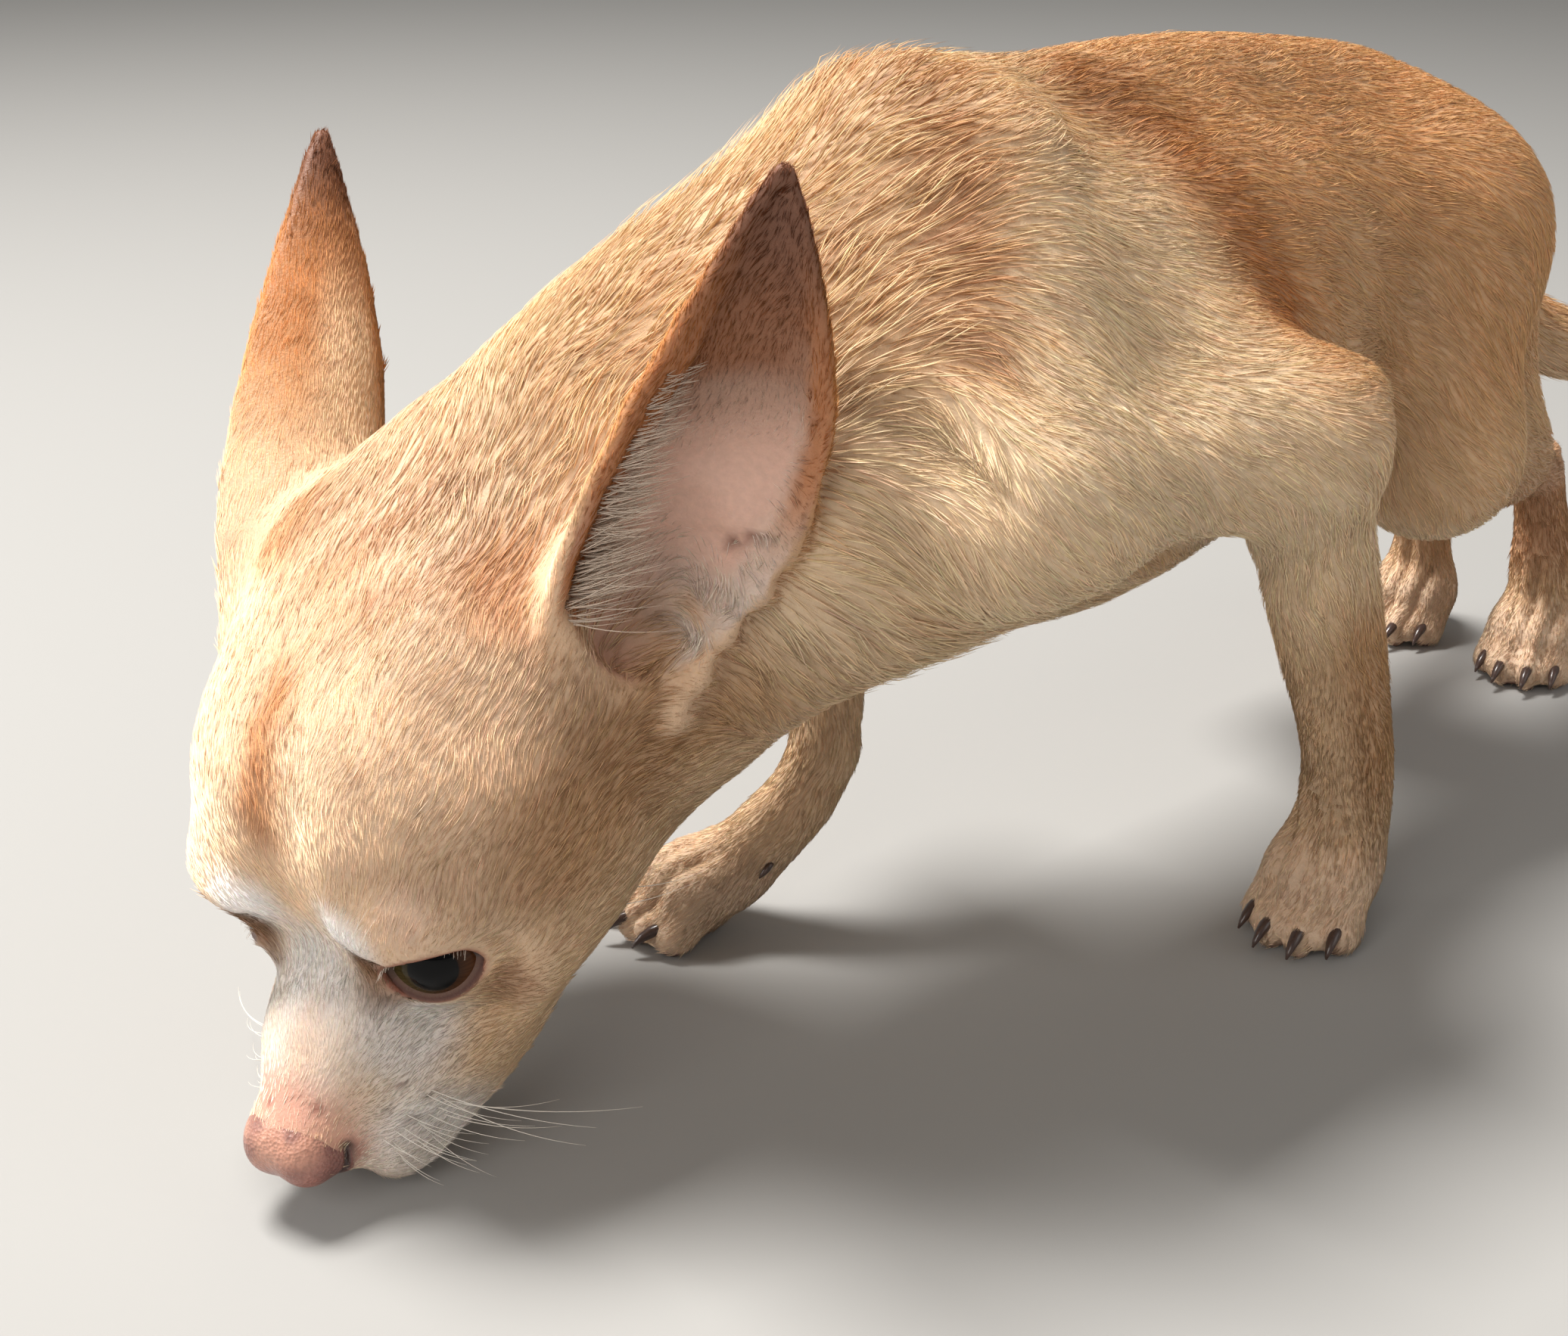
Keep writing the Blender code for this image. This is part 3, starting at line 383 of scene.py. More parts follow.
def ear_axes(side):
    """Root, length, and the ear's axes: across it, out of its cup, and up to its tip."""
    root, tip, out = EARS[side]
    up = unit(tip - root)
    out = unit(out - (out @ up) * up)
    return root, np.linalg.norm(tip - root), np.stack([np.cross(up, out) * side, out, up], axis=1)


def ear(p, side):
    """A leaf of skin bowed into a cup: wide and deep at the root, narrow and flat at the tip."""
    root, length, axes = ear_axes(side)
    x, y, z = np.moveaxis((to_head(p) - root) @ axes, -1, 0)
    t = z / length
    half = np.interp(t, EAR_HEIGHTS, EAR_HALF_WIDTHS)
    sag = np.interp(t, EAR_HEIGHTS, EAR_DEPTHS)
    arch = np.sin(np.pi * np.clip(t, 0, 1))
    gap = bow(x - EAR_BULGE * arch, y + sag - 0.004 + EAR_LEAN * arch, half, sag)
    past = np.maximum(z - length, 0) + np.maximum(-0.016 - z, 0)
    half_wall = EAR_WALL - 0.0004 * np.clip(t, 0, 1)
    return (np.hypot(gap, past) / 1.08 - half_wall) * HEAD_SIZE


def ear_hollow(p, side):
    """The room inside the cup, down to the pit at its root."""
    root, length, axes = ear_axes(side)
    q = (to_head(p) - root) @ axes
    return oval(q, (0.0010, 0.0010, 0.0060), (0.0098, 0.0078, 0.0170)) * HEAD_SIZE


def foreleg(p, leg):
    """Shoulder blade, upper arm, elbow, forearm and pastern."""
    blade, shoulder, elbow, point, wrist, heel = leg["bones"]
    thick = leg["thick"]
    forearm = (elbow, elbow * 0.55 + wrist * 0.45, wrist, heel)
    d = limb(p, forearm, (0.0106, 0.0092 * thick, 0.0079 * thick, 0.0084 * thick))
    d = blend(d, cone(p, shoulder, elbow, 0.0150, 0.0100), 0.012)
    d = blend(d, cone(p, elbow, point, 0.0062, 0.0036), 0.006)
    d = blend(d, cone(p, blade, shoulder, 0.0085, 0.0140), 0.014)
    behind = blade + vec(0.019, 0.30 * (shoulder[1] - blade[1]), -0.022)
    d = blend(d, cone(p, behind, elbow + vec(-0.002, 0, 0.002), 0.0100, 0.0090), 0.016)
    # The knob behind the wrist.
    return blend(d, ball(p, wrist + vec(0.0055, 0, 0.001), 0.0040), 0.004)


def hindleg(p, leg):
    """Thigh, knee, shank with its long tendon, heel bone and hind pastern."""
    hip, knee, hock, heel = leg["bones"]
    calf = knee * 0.5 + hock * 0.5
    d = limb(p, (knee, calf, hock, heel), (0.0135, 0.0098, 0.0068, 0.0076))
    d = blend(d, cone(p, hip, knee, 0.0205, 0.0150), 0.014)
    d = blend(d, cone(p, hip + vec(0.014, 0, -0.008), calf + vec(0.004, 0, 0.006), 0.0150, 0.0075), 0.016)
    return blend(d, cone(p, hock, hock + vec(0.0050, 0, 0.0050), 0.0052, 0.0034), 0.004)


def paw(p, leg):
    """Four toes fanned round the pad, the sole flat on the floor."""
    c, s = np.cos(leg["heading"]), np.sin(leg["heading"])
    forward, left = vec(-c, -s, 0), vec(s, -c, 0)
    at = leg["toes"]
    d = oval(p, at + vec(0, 0, 0.0025), (0.0102, 0.0102, 0.0080))
    d = blend(d, oval(p, at + forward * 0.0010 + vec(0, 0, -0.0034), (0.0064, 0.0070, 0.0050)), 0.0015)
    for spread, reach, radius in TOES:
        root = at + left * spread * 0.7 + vec(0, 0, 0.0025)
        tip = at + left * spread + forward * reach + vec(0, 0, radius - 0.0087)
        d = blend(d, cone(p, root, tip, 0.0052, radius), 0.0020)
    return d


def trunk(p):
    """The whole animal but for its ears: below nought inside it, in metres."""
    d = torso(p)
    d = blend(d, neck(p), 0.018)
    for leg in (LEFT_FORE, RIGHT_FORE):
        middle = leg["bones"][2] + vec(-0.02, 0, -0.03)
        d = blend(d, within(p, middle, 0.125, lambda q: foreleg(q, leg)), 0.010)
    for leg in (LEFT_HIND, RIGHT_HIND):
        middle = leg["bones"][1] + vec(0.04, 0, -0.01)
        d = blend(d, within(p, middle, 0.115, lambda q: hindleg(q, leg)), 0.012)
    middle = vec(0.120, -0.006, 0.100)
    d = blend(d, within(p, middle, 0.095, lambda q: limb(q, TAIL, TAIL_RADII)), 0.010)
    d = blend(d, within(p, from_head((-0.02, 0, -0.005)), 0.090, head), 0.012)
    for leg in (LEFT_FORE, RIGHT_FORE, LEFT_HIND, RIGHT_HIND):
        d = blend(d, within(p, leg["toes"], 0.036, lambda q: paw(q, leg)), 0.006)
    return d


def middle_of_ear(side):
    """A point halfway up the ear, in the room."""
    return from_head((EARS[side][0] + EARS[side][1]) / 2)

# %% [markdown]
# ## Where the skin lies
# The solids go out to the tips of the hair, so the skin has to lie inside them by the depth of
# the coat: most on the neck and back, half a millimetre on the head, next to nothing on the
# ears, the muzzle and the soles. Each ear is a thin leaf grown out of the head, with a pit at
# its root. Round each eye the skin stops, because the lids are a piece of their own.

# %% The skin as a distance


def ease(x, low, high):
    """Nought below low, one above high, and 3t^2 - 2t^3 between them."""
    t = np.clip((x - low) / (high - low), 0, 1)
    return t * t * (3 - 2 * t)


SKULL_MIDDLE = from_head((-0.020, 0, -0.005))


def in_the_head(p):
    """One on the head, nought from the middle of the neck back."""
    return 1 - ease(np.linalg.norm(p - SKULL_MIDDLE, axis=-1), 0.045, 0.075)


def coat_depth(p):
    """How far the skin lies under the tips of the hair, thinner towards the nose and the feet."""
    on_head = in_the_head(p)
    face = ease(to_head(p)[..., 0], -0.015, 0.020)
    foot = 1 - ease(p[..., 2], 0.004, 0.050)
    body_depth = 0.0013 - 0.0008 * foot
    return body_depth * (1 - on_head) + (0.0006 - 0.0004 * face) * on_head


def eye_frame(side):
    """The middle of the eye, and in the head's axes its outward look, its outer corner and its top."""
    look = unit(vec(0.585, side * 0.570, 0.577))
    outer = vec(-0.615, side * 1.504, -0.430)
    outer = unit(outer - (outer @ look) * look)
    return EYE_AT * vec(1, side, 1), look, outer, np.cross(look, outer) * side


EYE_LENGTH, EYE_TOP, EYE_FOOT = 0.0059, 0.0041, 0.0045


def eye_opening(q, side, grow):
    """The hollow in front of the eye: an almond, (x/a)^2 + (y/b)^1.6 = 1, pushed along the look."""
    middle, look, outer, top = eye_frame(side)
    x, y, ahead_of_it = (q - middle) @ outer, (q - middle) @ top, (q - middle) @ look
    half = np.where(y > 0, EYE_TOP, EYE_FOOT) + grow
    reach = np.sqrt((x / (EYE_LENGTH + grow)) ** 2 + (np.abs(y) / half) ** 1.6) - 1
    return np.maximum(reach * 0.0055, 0.0035 - ahead_of_it)


def nose_block(p):
    """The nose before its nostrils are cut: a rounded block, fuller over each of them and behind."""
    q = to_head(p)
    d = oval(q, NOSE_AT, NOSE_RADII)
    for s in (1, -1):
        wing = NOSE_AT + vec(0.0010, s * 0.0033, 0.0004)
        d = blend(d, oval(q, wing, (0.0050, 0.0037, 0.0050)), 0.0020)
        lobe = NOSE_AT + vec(-0.0012, s * 0.0060, -0.0030)
        d = blend(d, oval(q, lobe, (0.0036, 0.0022, 0.0038)), 0.0016)
    return d * HEAD_SIZE


def nostrils(q):
    """On each side a round hole in front that runs out into a slit, over the wing and back."""
    d = np.full(q.shape[:-1], 1.0)
    for s in (1, -1):
        front = NOSE_AT + vec(0.0052, s * 0.0034, -0.0022)
        hole = cone(q, front, front - vec(0.0036, s * -0.0006, 0.0004), 0.0012, 0.0009)
        bend = [front, NOSE_AT + vec(0.0026, s * 0.0068, -0.0034), NOSE_AT + vec(-0.0012, s * 0.0078, -0.0004)]
        d = np.minimum(d, np.minimum(hole, limb(q, bend, (0.0010, 0.00050, 0.00025))))
    return d


def skin(p, spare=0.0):
    """The whole dog, below the coat, with ears (thicker by spare), their pits, the eyes' hollows and flat soles."""
    d = trunk(p) + coat_depth(p)
    for side in (1, -1):
        middle = from_head((EARS[side][0] + EARS[side][1]) / 2)
        d = carve(d, within(p, middle, 0.066, lambda q: ear_hollow(q, side)), 0.004)
        d = blend(d, within(p, middle, 0.066, lambda q: ear(q, side) + 0.0001 - spare), 0.004)
    d = blend(d, within(p, from_head(NOSE_AT), 0.030, lambda q: nose_block(q) + 0.0005), 0.0036)
    d = carve(d, within(p, from_head(NOSE_AT), 0.030, lambda q: (nostrils(to_head(q)) - 0.0002) * HEAD_SIZE), 0.0010)
    d = np.maximum(d, -p[..., 2])
    for side in (1, -1):
        hollow = within(p, from_head(EYE_AT), 0.040, lambda q: eye_opening(to_head(q), side, 0.0009))
        d = carve(d, hollow, 0.0007)
    return d


print("skin above the withers:", np.round(skin(vec(-0.08, 0, 0.16)[None]) * 1000, 2), "mm")

# %% [markdown]
# ## From a distance to a mesh
# The room is cut into boxes and the distance is sampled at their corners. Where it changes
# sign the skin passes through, and one point is put in each such box, in the middle of the
# crossings. Joining the points of neighbouring boxes gives four-sided faces all round, which
# is called surface nets. The boxes are small round the muzzle and the eyes and larger on the
# body, so that the face keeps its detail and the whole stays light. Marching cubes would give
# twice the faces with many slivers, and a sphere wrapped onto the dog would stretch at the ears.

# %% Grid lines, samples and the net


def grid_line(*stretches):
    """Grid positions along one axis, from (start, end, spacing) stretches laid end to end."""
    lines = [np.linspace(a, b, int(round((b - a) / gap)), endpoint=False) for a, b, gap in stretches]
    return np.concatenate([*lines, [stretches[-1][1]]])


GRID = (
    grid_line((-0.200, -0.184, 0.0016), (-0.184, -0.128, 0.00078), (-0.128, -0.095, 0.0012), (-0.095, 0.190, 0.0019)),
    grid_line((-0.062, 0.006, 0.0019), (0.006, 0.062, 0.00095), (0.062, 0.108, 0.0015)),
    grid_line((-0.003, 0.058, 0.00085), (0.058, 0.090, 0.0014), (0.090, 0.172, 0.0019)),
)


def sampled(shape, lines, block=8):
    """The distance at each crossing of the grid lines, worked out only in blocks near the skin."""
    counts = [len(line) for line in lines]
    starts = [np.arange(0, n, block) for n in counts]
    ends = [np.minimum(s + block, n) - 1 for s, n in zip(starts, counts)]
    low = [line[s] for line, s in zip(lines, starts)]
    high = [line[e] for line, e in zip(lines, ends)]
    middle = np.stack(np.meshgrid(*[(a + b) / 2 for a, b in zip(low, high)], indexing="ij"), axis=-1)
    half = np.stack(np.meshgrid(*[(b - a) / 2 for a, b in zip(low, high)], indexing="ij"), axis=-1)
    far = shape(middle.reshape(-1, 3)).reshape(middle.shape[:3])
    values = np.where(far < 0, -1.0, 1.0)
    for axis in range(3):
        values = np.repeat(values, block, axis=axis)
    values = values[: counts[0], : counts[1], : counts[2]].copy()
    near = np.argwhere(np.abs(far) < np.linalg.norm(half, axis=-1) * 1.15 + 0.0030) * block
    offsets = np.stack(np.meshgrid(*[np.arange(block)] * 3, indexing="ij"), axis=-1).reshape(-1, 3)
    cells = (near[:, None] + offsets).reshape(-1, 3)
    cells = cells[(cells < counts).all(axis=1)]
    for some in np.array_split(cells, max(1, len(cells) // 200000)):
        at = np.stack([lines[i][some[:, i]] for i in range(3)], axis=1)
        values[tuple(some.T)] = shape(at)
    return values


def bridged(values, turns=4):
    """The samples with no square whose two inside corners meet only across its diagonal."""
    for _ in range(turns):
        for axes in ((0, 1), (1, 2), (2, 0)):
            steps = [np.eye(3, dtype=int)[axis] for axis in axes]
            corners = [a * steps[0] + b * steps[1] for a, b in ((0, 0), (1, 1), (1, 0), (0, 1))]
            size = [n - 1 if i in axes else n for i, n in enumerate(values.shape)]
            views = [values[tuple(slice(c[i], c[i] + size[i]) for i in range(3))] for c in corners]
            a, b, c, d = [view < 0 for view in views]
            torn = (a == b) & (c == d) & (a != c)
            for view in views:
                view[torn] = np.minimum(view[torn], -1e-6)
    return values


def net(shape, lines):
    """Surface nets: one point in each box that the skin crosses, and a four-sided face round each crossing."""
    values = bridged(sampled(shape, lines))
    counts = values.shape
    inside = values < 0
    crossings, corners, turned = [], [], []
    for axis in range(3):
        step = np.eye(3, dtype=int)[axis]
        here = inside[tuple(slice(0, counts[i] - step[i]) for i in range(3))]
        there = inside[tuple(slice(step[i], None) for i in range(3))]
        edges = np.argwhere(here != there)
        edges = edges[(edges > 0).all(axis=1)]
        a = values[tuple(edges.T)]
        b = values[tuple((edges + step).T)]
        point = edges + (a / (a - b))[:, None] * step
        u, v = np.eye(3, dtype=int)[(axis + 1) % 3], np.eye(3, dtype=int)[(axis + 2) % 3]
        ring = np.stack([edges, edges - u, edges - u - v, edges - v], axis=1).reshape(-1, 3)
        crossings.append(np.repeat(point, 4, axis=0))
        corners.append((ring[:, 0] * counts[1] + ring[:, 1]) * counts[2] + ring[:, 2])
        turned.append(a < 0)
    crossings, corners, turned = [np.concatenate(found) for found in (crossings, corners, turned)]
    _, index = np.unique(corners, return_inverse=True)
    index = index.ravel()
    share = np.bincount(index)
    at = [np.bincount(index, crossings[:, i]) / share for i in range(3)]
    points = np.stack([np.interp(at[i], np.arange(counts[i]), lines[i]) for i in range(3)], axis=1)
    faces = index.reshape(-1, 4)
    faces[turned] = faces[turned][:, ::-1]
    return points, faces[:, ::-1]


def gradient(shape, p, step=0.0002):
    """The direction in which the distance grows, from four samples round each point."""
    corners = np.array([(1, -1, -1), (-1, -1, 1), (-1, 1, -1), (1, 1, 1)], float)
    return sum(c * shape(p + step * c)[:, None] for c in corners) / (4 * step)


def onto(shape, p, turns=3):
    """Each point moved down the gradient until its distance is nought."""
    for _ in range(turns):
        slope = gradient(shape, p)
        away = np.clip(shape(p) / np.maximum((slope * slope).sum(1), 0.2), -0.0006, 0.0006)
        p = p - away[:, None] * slope
    return p


def biggest(points, faces):
    """The largest closed surface: labels spread over shared points until they settle."""
    label = np.arange(len(points))
    while True:
        low = label[faces].min(axis=1)
        after = label.copy()
        for k in range(faces.shape[1]):
            np.minimum.at(after, faces[:, k], low)
        after = after[after]
        if (after == label).all():
            break
        label = after
    marks, share = np.unique(label[faces[:, 0]], return_counts=True)
    kept, index = np.unique(faces[label[faces[:, 0]] == marks[share.argmax()]], return_inverse=True)
    return points[kept], index.reshape(-1, faces.shape[1])


# %% The skin's mesh
# The ears are thinner than a box of the grid, so their net is cast thicker and then drawn in.
EAR_SPARE = 0.0008
skin_points, skin_faces = biggest(*net(lambda p: skin(p, EAR_SPARE), GRID))
skin_points = onto(skin, skin_points, 4)
print("skin:", len(skin_points), "points,", len(skin_faces), "four-sided faces")

# %% [markdown]
# ## Folds too fine for the grid
# The lips, the groove under the nose, the soft wrinkles behind the elbow and the ribs are only
# a fraction of a millimetre deep. They are pressed into the finished skin: each point moves
# along the skin's own direction out by a height worked out from its place, as a sculptor would
# press a line into clay. A bump map would do for the camera, but not for the outline.

# %% Lips, wrinkles and ribs
LIP_X = np.array([-0.0120, -0.0080, 0.0000, 0.0100, 0.0210, 0.0310, 0.0420])
LIP_Z = np.array([-0.0200, -0.0225, -0.0244, -0.0246, -0.0232, -0.0208, -0.0200])


def lip_line(q):
    """Height above the line of the mouth, in head sizes, and how much of the mouth is there."""
    there = ease(q[..., 0], -0.0125, -0.0085) * (1 - ease(q[..., 2], -0.017, -0.012))
    return q[..., 2] - np.interp(q[..., 0], LIP_X, LIP_Z), there


def hump(x, width):
    """A smooth hump, exp(-(x/width)^2)."""
    return np.exp(-((x / width) ** 2))


def near_to(p, middle, reach):
    """One at a point, fading to nought at this reach from it."""
    return 1 - ease(np.linalg.norm(p - np.array(middle, float), axis=-1), reach * 0.35, reach)


def ear_place(p, side):
    """Along the ear, 0 at its root and 1 at its tip; how far inside its cup; from -1 at its front edge to 1 at its back edge."""
    root, length, axes = ear_axes(side)
    x, y, z = np.moveaxis((to_head(p) - root) @ axes, -1, 0)
    t = z / length
    half = np.interp(t, EAR_HEIGHTS, EAR_HALF_WIDTHS)
    sag = np.interp(t, EAR_HEIGHTS, EAR_DEPTHS)
    radius = (half * half + sag * sag) / (2 * sag)
    bow_x, bow_y = x - EAR_BULGE * np.sin(np.pi * np.clip(t, 0, 1)), y + sag - 0.004
    turn = np.arctan2(bow_x, radius - bow_y)
    return t, radius - np.hypot(bow_x, radius - bow_y), turn / (2 * np.arctan2(sag, half))


def ear_folds(p):
    """Height added inside the cup: a rolled front edge, two soft ridges over the pit and the small pocket low on the back edge."""
    h = np.zeros(p.shape[:-1])
    for side in (1, -1):
        t, inside, edge = ear_place(p, side)
        near = ease(inside, 0.0002, 0.0008) * ease(t, -0.02, 0.06) * (1 - ease(t, 0.90, 1.0))
        near = near * (within(p, from_head((EARS[side][0] + EARS[side][1]) / 2), 0.066, lambda r: ear(r, side)) < 0.0030)
        roll = 0.0010 * hump(edge + 0.74, 0.16) * (1 - ease(t, 0.55, 0.85))
        ridges = 0.0009 * hump(t - 0.17 - 0.10 * edge, 0.035) * (1 - ease(np.abs(edge), 0.35, 0.70))
        ridges = ridges + 0.0008 * hump(t - 0.30 + 0.12 * edge, 0.050) * (1 - ease(np.abs(edge - 0.2), 0.30, 0.60))
        pocket = -0.0012 * hump(t - 0.20 - 0.16 * (edge - 0.7), 0.022) * ease(edge, 0.40, 0.62) * (1 - ease(edge, 0.88, 0.98))
        lip = 0.0007 * hump(t - 0.245 - 0.16 * (edge - 0.7), 0.022) * ease(edge, 0.35, 0.62)
        h = h + near * (roll + ridges + pocket + lip)
    return h


def relief(p):
    """Height added to the skin, in metres: grooves are below nought."""
    q = to_head(p)
    on_head = in_the_head(p)
    over, there = lip_line(q)
    h = there * on_head * (-0.0010 * hump(over, 0.00055) + 0.00045 * hump(over - 0.0016, 0.0012))
    front = ease(q[..., 0], 0.026, 0.030) * (1 - ease(q[..., 2], -0.012, -0.008)) * (over > 0)
    h = h - 0.0006 * front * on_head * hump(q[..., 1], 0.0005)
    # The forehead's furrow and two faint ones over each brow.
    h = h - 0.0002 * on_head * hump(q[..., 1] + 0.0025, 0.0025) * ease(q[..., 0], -0.030, -0.010) * ease(q[..., 2], 0.010, 0.018)
    # The brow: a soft roll over each eye, and a furrow from the inner corner up and inwards.
    for side in (1, -1):
        m = q * vec(1, side, 1)
        h = h + 0.0005 * on_head * near_to(m, (0.0005, 0.0175, 0.0150), 0.0075)
        h = h + 0.0005 * on_head * near_to(m, (0.0045, 0.0095, 0.0140), 0.0060)
        furrow = np.linalg.norm(np.cross(m - vec(0.0062, 0.0125, 0.0100), unit(vec(-0.10, -0.75, 0.25))), axis=-1)
        h = h - 0.0008 * on_head * hump(furrow, 0.0011) * near_to(m, (0.0062, 0.0100, 0.0095), 0.0060)
        h = h - 0.0005 * on_head * near_to(m, (0.0120, 0.0135, -0.0020), 0.0080)
    # The gaps between the toes, running back over each foot.
    for leg in (LEFT_FORE, RIGHT_FORE, LEFT_HIND, RIGHT_HIND):
        forward = vec(-np.cos(leg["heading"]), -np.sin(leg["heading"]), 0)
        left = vec(np.sin(leg["heading"]), -np.cos(leg["heading"]), 0)
        from_toes = p - leg["toes"]
        reach, across = from_toes @ forward, from_toes @ left
        span = ease(reach, -0.006, 0.003) * (np.linalg.norm(from_toes, axis=-1) < 0.024)
        for gap in (-0.0056, 0.0, 0.0056):
            spread = 1 + 0.020 * np.maximum(reach, 0) / 0.010
            h = h - 0.0012 * span * hump(across - gap * spread * 0.95, 0.0010)
        for toe, _, _ in TOES:
            h = h + 0.0004 * span * hump(across - toe, 0.0016)
    # Wrinkles where the foreleg meets the chest, and where the neck bends.
    for middle, reach, across, length, height in (
        ((-0.050, -0.036, 0.088), 0.030, (0.35, 0.0, 0.94), 0.0085, 0.00075),
        ((-0.092, -0.022, 0.108), 0.034, (0.80, 0.2, 0.55), 0.0105, 0.00060),
        ((-0.012, -0.030, 0.100), 0.030, (0.88, 0.0, 0.45), 0.0100, 0.00045),
        ((-0.112, -0.006, 0.086), 0.026, (0.55, -0.3, 0.78), 0.0080, 0.00060),
    ):
        wave = (p @ unit(np.array(across))) / length * 2 * np.pi + 1.3 * np.sin(p @ vec(90, 160, 40))
        h = h + height * near_to(p, middle, reach) * np.sin(wave)
    # Ribs, slanting back and down.
    ribs = near_to(p, (-0.020, 0.0, 0.112), 0.062) * ease(np.abs(p[..., 1]), 0.012, 0.026)
    h = h + ear_folds(p)
    return h + 0.00022 * ribs * np.sin((p @ vec(0.95, 0, 0.32)) / 0.0105 * 2 * np.pi)


def point_normals(points, faces):
    """At each point the summed directions of the faces round it, cut to length one."""
    across = np.cross(points[faces[:, 2]] - points[faces[:, 0]], points[faces[:, 3]] - points[faces[:, 1]])
    total = np.stack([np.bincount(faces.ravel(), np.repeat(across[:, i], 4), len(points)) for i in range(3)], axis=1)
    return total / np.maximum(np.linalg.norm(total, axis=1), 1e-12)[:, None]


skin_points = skin_points + relief(skin_points)[:, None] * point_normals(skin_points, skin_faces)
skin_points[:, 2] = np.maximum(skin_points[:, 2], 0)
skin_normals = point_normals(skin_points, skin_faces)
print("deepest fold:", round(float(relief(skin_points).min() * 1000), 2), "mm")

# %% [markdown]
# ## Markings
# The coat is fawn: redder on the back, the flanks and the ears, cream on the shoulder, the
# throat and the belly, and the old dog's face has gone white round the nose and over the eyes.
# Each marking is a soft patch round a place on the body, so one function of place colours both
# the skin and the hair that grows from it, and the two always agree. Painting by hand would
# need a picture, which a script can't hold.
# Some patches are painted light instead: shade on the cheeks, the near foreleg, partly in the ears' upper cups, in
# their pockets, under the hair and in the nostrils, and a highlight on the point of the shoulder.

# %% Colours and where they are


def paint(red, green, blue):
    """A colour picked as it looks, 0 to 255, turned into an amount of light."""
    return ((np.array([red, green, blue]) / 255 + 0.055) / 1.055) ** 2.4


FAWN, RED_FAWN, BACK = paint(236, 200, 156), paint(186, 124, 70), paint(222, 172, 120)
CREAM, PALE, WHITE = paint(248, 224, 188), paint(238, 206, 168), paint(252, 249, 245)
CROWN, RUST, SHANK, FOOT = paint(240, 208, 174), paint(204, 138, 80), paint(204, 150, 108), paint(242, 212, 182)
# A darker fawn used as painted shade on the cheeks and the near foreleg.
PAINTED_SHADE = paint(190, 142, 92)
PINK, EAR_PINK, DARK_RIM, LEATHER = paint(236, 186, 164), paint(220, 180, 162), paint(70, 40, 34), paint(200, 146, 126)
LEFT_SHOULDER = ((-0.066, -0.030, 0.128), (-0.088, -0.042, 0.110), (-0.060, -0.045, 0.100), (-0.030, -0.049, 0.092))
LEFT_CREASE = ((-0.0851, -0.0052, 0.1601), (-0.0873, -0.0152, 0.1500), (-0.0894, -0.0189, 0.1428), (-0.0939, -0.0263, 0.1288))
LEFT_BAND = ((-0.0518, -0.0063, 0.1569), (-0.0401, -0.0153, 0.1481), (-0.0345, -0.0255, 0.1362), (-0.0300, -0.0330, 0.1217))
# The line along each cheek, below the cheekbone, where shade is painted.
CHEEK_PAINTED_SHADE = ((-0.0173, 0.0304, 0.0064), (-0.0366, 0.0351, 0.0037), (-0.0480, 0.0447, -0.0022))


def ripple(p, size, seed):
    """A slow wavering between -1 and 1, the sum of four crossed waves about this far apart."""
    ways = np.random.default_rng(seed).normal(size=(4, 3))
    ways = ways / np.linalg.norm(ways, axis=1)[:, None] * (2 * np.pi / size)
    return np.sin(p @ ways.T + np.arange(4) * 1.7).sum(axis=-1) / 2.6


def mixed(under, over, share):
    """One colour laid over another by a share from 0 to 1 at each point."""
    return under + (over - under) * np.clip(share, 0, 1)[:, None]


class Place:
    """What the markings, the hair's length and its density need to know of some points."""

    def __init__(self, p, n):
        self.p, self.n, self.q = p, n, to_head(p)
        self.on_head = in_the_head(p)
        self.away = np.abs(self.q[:, 1])
        self.in_ear = np.zeros(len(p))
        self.cup = np.zeros(len(p))
        self.up_ear = np.zeros(len(p))
        self.edge = np.zeros(len(p))
        for side in (1, -1):
            d = within(p, from_head((EARS[side][0] + EARS[side][1]) / 2), 0.066, lambda r: ear(r, side))
            share = 1 - ease(d, 0.0008, 0.0035)
            up, inside, edge = ear_place(p, side)
            new = share > self.in_ear
            self.in_ear = np.where(new, share, self.in_ear)
            self.up_ear = np.where(new, up, self.up_ear)
            self.edge = np.where(new, edge, self.edge)
            self.cup = np.where(new, ease(inside, -0.0002, 0.0005) * ease(up, -0.05, 0.05), self.cup)
        for side in (1, -1):
            d = within(p, from_head((EARS[side][0] + EARS[side][1]) / 2), 0.066, lambda r: ear_hollow(r, side))
            ahead_of_it = within(p + 0.001 * n, from_head((EARS[side][0] + EARS[side][1]) / 2), 0.066, lambda r: ear_hollow(r, side))
            walled = (1 - ease(np.abs(d), 0.0007, 0.0016)) * ease(d - ahead_of_it, 0.0003, 0.0008)
            self.cup = np.maximum(self.cup, walled)


